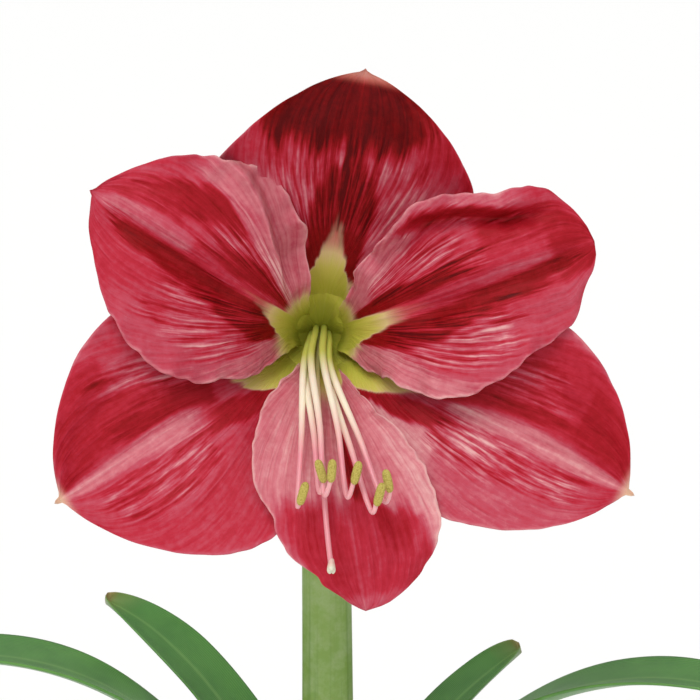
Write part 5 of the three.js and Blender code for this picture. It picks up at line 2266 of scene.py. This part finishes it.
@dataclass(frozen=True)
class Bloom:
    """The open bloom: six tepals, six stamens, the style and the green foot."""

    placement: Placement = Placement()

    def build(self) -> None:
        """Makes every piece of the bloom."""
        for number, tepal in enumerate(TEPALS):
            look = TepalSkin(f"{tepal.name} petal skin", seed=1.7 * number + 0.4).material()
            make_piece(f"{tepal.name}_petal", tepal.surface(self.placement), look, [tepal.name])
        pale = Filament("moist filament").material()
        pollen = Pollen("mealy pollen").material()
        for stamen in STAMENS:
            name = f"stamen_{stamen.number}"
            make_piece(f"{name}_filament", stamen.filament(self.placement), pale, [name])
            make_piece(f"{name}_anther", stamen.anther(self.placement), pollen, [name])
        style = Style()
        thin = Filament(
            "moist style", foot="#C9C07E", middle="#E9CDBA", far="#DE8F96", end="#D98A92",
        ).material()
        make_piece("style_stalk", style.stalk(self.placement), thin, ["style"])
        knob = Filament("downy stigma", 0.7, foot="#DDB4A6", middle="#DCC5B2", far="#DAD2BC", end="#D6D3BC")
        make_piece("style_stigma", style.stigma(self.placement), knob.material(), ["style"])
        green = ((0.0, "#7E9E4C"), (0.5, "#8CA452"), (0.8, "#9FA24A"), (1.0, "#A8A63C"))
        tube = Stalk("green tube and throat", stops=green).material()
        fleshy = TepalSkin("fleshy green throat", seed=12.5).material()
        plump = Stalk("waxy ovary").material()
        foot = Foot()
        for name, surface, look, node in (
            ("perianth_tube_foot", foot.tube(self.placement), tube, "perianth_tube"),
            ("perianth_throat_lining", foot.throat(self.placement), fleshy, "perianth_tube"),
            ("ovary_barrel", foot.ovary(self.placement), plump, "ovary"),
        ):
            make_piece(name, surface, look, [node])


# The rest of the umbel


@dataclass(frozen=True)
class Bud:
    """A closed bud with its ovary at its foot and its stalk below."""

    name: str
    start: tuple[float, float]
    foot: tuple[float, float, float]
    way: tuple[float, float, float]
    length: float
    radius: float
    sides: int = 132

    def surface(self) -> Surface:
        """The bud: ovary, narrow neck and a body of three overlapping tepals.

        Its radius along t is the largest of the ovary's bell, the neck, and ease((t - 0.1) / 0.42) closed by
        (1 - x^2)^0.62. Round it, cos 3a raises the midribs, and a sawtooth steps down at each margin.

        Returns:
            The bud.
        """
        t = np.linspace(0, 1, 150)
        ovary = 0.36 * bell(t, 0.09, 0.075) + 0.18 * (1 - t)
        closing = np.clip(1 - (np.clip(t - 0.52, 0, None) / 0.48) ** 2, 0, 1) ** 0.62
        neck = 0.3 * (1 - ease((t - 0.8) / 0.1))
        body = 0.98 * ease((t - 0.1) / 0.42) * closing
        r = self.radius * np.maximum.reduce([neck, body, ovary, np.full_like(t, 0.05)])
        turn = round_turn(self.sides)
        shown = ease((t - 0.25) / 0.3)[:, None]
        ridge = np.cos(3 * turn)
        twisted = (3 * (turn + 0.5 * ease((t[:, None] - 0.5) / 0.5)) / (2 * np.pi) + 0.5) % 1.0
        overlap = 0.75 * (twisted - 0.5) * shown * ease((1 - t[:, None]) / 0.12)
        crinkle = 0.12 * lattice_noise(turn * 30 / (2 * np.pi), t[:, None] * 4, 90, period=30) * shown
        size = r[:, None] * (1 + 0.06 * shown * ridge) + overlap + crinkle
        end = np.array(self.foot) + unit(np.array(self.way)) * self.length
        path = np.linspace(self.foot, end, len(t))
        return skin(tube_rings(path, size, size, self.sides), {"ridge": 0.5 + 0.5 * ridge * shown})


@dataclass(frozen=True)
class Umbel:
    """What the scape's head carries besides the open bloom: three stalks, two buds and two bracts."""

    pull: float = 0.38
    taper: float = 0.88
    bloom_radius: float = 4.3
    bud_radius: float = 3.2
    seat: float = 0.3
    bract_half: float = 8.5
    bract_droop: float = 44.0
    bract_rows: int = 90
    buds: tuple[Bud, ...] = (
        Bud("bud_large", (-5, 2.5), (-16, 24, 416), (-0.3, 0.82, 0.44), 84, 14.5),
        Bud("bud_small", (5.5, 2.5), (17, 17, 413), (0.42, 0.6, 0.68), 62, 10.5),
    )

    def pedicel(self, start: Array, end: Array, arriving: Array, radius: float) -> Surface:
        """A stalk along a cubic Bezier curve that leaves upwards and arrives along a direction.

        Args:
            start: Where the stalk starts, in millimetres.
            end: Where it ends, in millimetres.
            arriving: Unit vector along which it arrives.
            radius: Radius at its start, in millimetres.

        Returns:
            The stalk.
        """
        pull = self.pull * np.linalg.norm(end - start)
        t = np.linspace(0, 1, 60)[:, None]
        corners = (start, start + [0, 0, pull], end - arriving * pull, end)
        weights = ((1 - t) ** 3, 3 * t * (1 - t) ** 2, 3 * t * t * (1 - t), t**3)
        path = sum(w * c for w, c in zip(weights, corners))
        size = radius * mix(1.0, self.taper, t[:, 0])
        return skin(tube_rings(path, size, size, 28))

    def bract(self, way: float, head: Array, head_radius: float, seed: int) -> Surface:
        """A withered bract that hangs from the head: a crumpled blade that tapers as 1 - u^2.2.

        Args:
            way: Heading of the bract, in degrees.
            head: Top of the scape, in millimetres.
            head_radius: Radius of the scape there, in millimetres.
            seed: Seed of the random draws.

        Returns:
            The bract.
        """
        out, across = direction(way), direction(way + 90)
        start = head + [0, 0, -6] + out * (head_radius + self.seat + 0.4)
        way_out = ((0, 0), (7, 5), (16, -10), (17, -self.bract_droop))
        knots = [start + away * out + [0, 0, rise] for away, rise in way_out]
        u, v = blade_grid(self.bract_rows, 31)
        spine = smooth_path(knots, self.bract_rows)
        normal = np.cross(across, unit(np.gradient(spine, axis=0)))
        half = self.bract_half * mix(0.55, 1.0, ease(u / 0.3)) * (1 - u**2.2)
        half = half * (1 + 0.12 * lattice_noise(u * 8, v + 3, seed))
        crumple = 0.9 * lattice_noise(u * 7, v * 2.5, seed + 1)
        crumple = crumple + 0.35 * lattice_noise(u * 18, v * 5, seed + 2)
        curl = -3 * v * v * (1 - u) - 3.0 * v**2 * u + crumple * ease(u / 0.15)
        at = spine[:, None, :] + (half * v)[..., None] * across
        front = at + (curl + 0.3)[..., None] * normal[:, None, :]
        back = at + (curl - 0.3)[..., None] * normal[:, None, :]
        return blade(u, v, front, back)

    def build(self, scape: Scape, placement: Placement, foot: Foot) -> None:
        """Makes the stalks, buds and bracts.

        Args:
            scape: The scape that carries the umbel.
            placement: Where the bloom stands on the plant, and how it is turned.
            foot: The foot of the bloom, where its pedicel ends.
        """
        head = np.array(scape.head)
        green = Stalk("waxy flower stalks").material()
        end = placement.to_plant([0, 0, foot.ovary_foot - self.seat])
        stalk = self.pedicel(head + [0, -3, self.seat], end, placement.axes()[2], self.bloom_radius)
        make_piece("pedicel_bloom_stalk", stalk, green, ["pedicel_bloom"])
        petals = BudSkin("closed bud petals").material()
        for bud in self.buds:
            way = unit(np.array(bud.way))
            start = np.array([*bud.start, head[2] + self.seat])
            stalk = self.pedicel(start, np.array(bud.foot) - way * self.seat, way, self.bud_radius)
            make_piece(f"pedicel_{bud.name}_stalk", stalk, green, [f"pedicel_{bud.name}"])
            make_piece(f"{bud.name}_petals", bud.surface(), petals, [bud.name])
        dry = Papery(
            "withered spathe", veins=16.0, stains=5.0, roughness=0.7,
            stops=((0.1, "#8A6B48"), (0.45, "#B3946A"), (0.75, "#CDB48E"), (1.0, "#DCCBAA")),
        ).material()
        radius = scape.half_width * (scape.taper + scape.swelling)
        for name, way, seed in (("spathe_left", 180, 80), ("spathe_right", 0, 84)):
            make_piece(f"{name}_bract", self.bract(way, head, radius, seed), dry, [name])


# The studio


@dataclass(frozen=True)
class Studio:
    """Pale floor, soft light and the camera, which looks along the bloom's axis."""

    placement: Placement = Placement()
    frame_width: float = 220.5
    rim_depth: float = 70.0
    centre_right: float = 10.1
    centre_up: float = -5.4
    distance: float = 850.0
    floor_radius: float = 60.0

    def camera(self) -> None:
        """A long lens whose frame is 220.5 mm wide at the rim of the bloom, shifted like the photograph's."""
        data = bpy.data.cameras.new("camera")
        data.sensor_width = 36.0
        data.lens = 36.0 * self.distance / self.frame_width
        eye = put("camera", data)
        right, up, forward = self.placement.axes()
        place = self.placement.to_plant([self.centre_right, self.centre_up, self.rim_depth + self.distance])
        eye.location = (place * MM).tolist()
        matrix = np.stack([right, up, forward], 1)
        eye.rotation_euler = Matrix(matrix.tolist()).to_euler()
        bpy.context.scene.camera = eye

    def build(self) -> None:
        """Camera, sky, lamps and floor."""
        self.camera()
        self.sky()
        self.lamp("key", 1.35, 35, direction(-108, 52))
        self.lamp("fill", 0.75, 70, direction(-86, 14))
        bpy.context.scene.view_settings.view_transform = "Standard"
        self.floor()

    def lamp(self, name: str, energy: float, angle: float, toward: Array) -> None:
        """A far soft lamp of an angular size in degrees, in a direction seen from the plant.

        Args:
            name: Name of the lamp.
            energy: Its strength.
            angle: Its angular size, in degrees.
            toward: Direction of the lamp, seen from the plant.
        """
        sun = bpy.data.lights.new(name, "SUN")
        sun.energy = energy
        sun.angle = math.radians(angle)
        lamp = put(name, sun)
        lamp.rotation_euler = Vector(toward).to_track_quat("Z", "Y").to_euler()

    def sky(self) -> None:
        """A white room: brighter above than at eye level, and plain white where the camera sees it."""
        world = bpy.data.worlds.new("studio")
        world.use_nodes = True
        tree = world.node_tree
        add = partial(add_node, tree)
        height = add("SeparateXYZ", {0: add("TexCoord", out="Generated")}, out="Z")
        glow = {"Value": height, "From Min": -0.1, "From Max": 1.0, "To Min": 0.22, "To Max": 0.85}
        around = tree.nodes["Background"]
        around.inputs["Color"].default_value = (1, 1, 1, 1)
        tree.links.new(add("MapRange", glow), around.inputs["Strength"])
        seen = add("Background", {"Color": (1, 1, 1, 1), "Strength": 0.97})
        ray = add("LightPath", out="Is Camera Ray")
        both = add("MixShader", {0: ray, 1: around.outputs[0], 2: seen})
        tree.links.new(both, tree.nodes["World Output"].inputs["Surface"])
        bpy.context.scene.world = world

    def floor(self) -> None:
        """A wide pale floor under the pot."""
        turn = np.linspace(0, 2 * np.pi, 96, endpoint=False)
        ring = np.stack([np.cos(turn), np.sin(turn), 0 * turn], -1) * self.floor_radius
        mesh = bpy.data.meshes.new("floor")
        mesh.from_pydata(ring.tolist(), [], [tuple(range(len(ring)))])
        paper = bpy.data.materials.new("pale paper sweep")
        paper.use_nodes = True
        shader = paper.node_tree.nodes["Principled BSDF"]
        shader.inputs["Base Color"].default_value = linear("#FAFAF9")
        shader.inputs["Roughness"].default_value = 0.9
        shader.inputs["Specular IOR Level"].default_value = 0.2
        mesh.materials.append(paper)
        put("floor", mesh)


def main() -> None:
    """Builds the plant and the studio."""
    logging.basicConfig(level=logging.INFO, format="%(name)s: %(message)s")
    Studio().build()
    pot, bulb, soil, scape = Pot(), Bulb(), Soil(), Scape()
    pocket = bulb.top - bulb.pocket_depth + soil.seat
    pot.build(soil.top)
    bulb.build()
    soil.build(pot, bulb)
    scape.build(pocket)
    blade_green = LeafBlade("fleshy leaf blade").material()
    for leaf in LEAVES:
        make_piece(f"{leaf.name}_blade", leaf.surface(pocket), blade_green, [leaf.name])
    bloom = Bloom()
    bloom.build()
    Umbel().build(scape, bloom.placement, Foot())


if __name__ == "__main__":
    main()
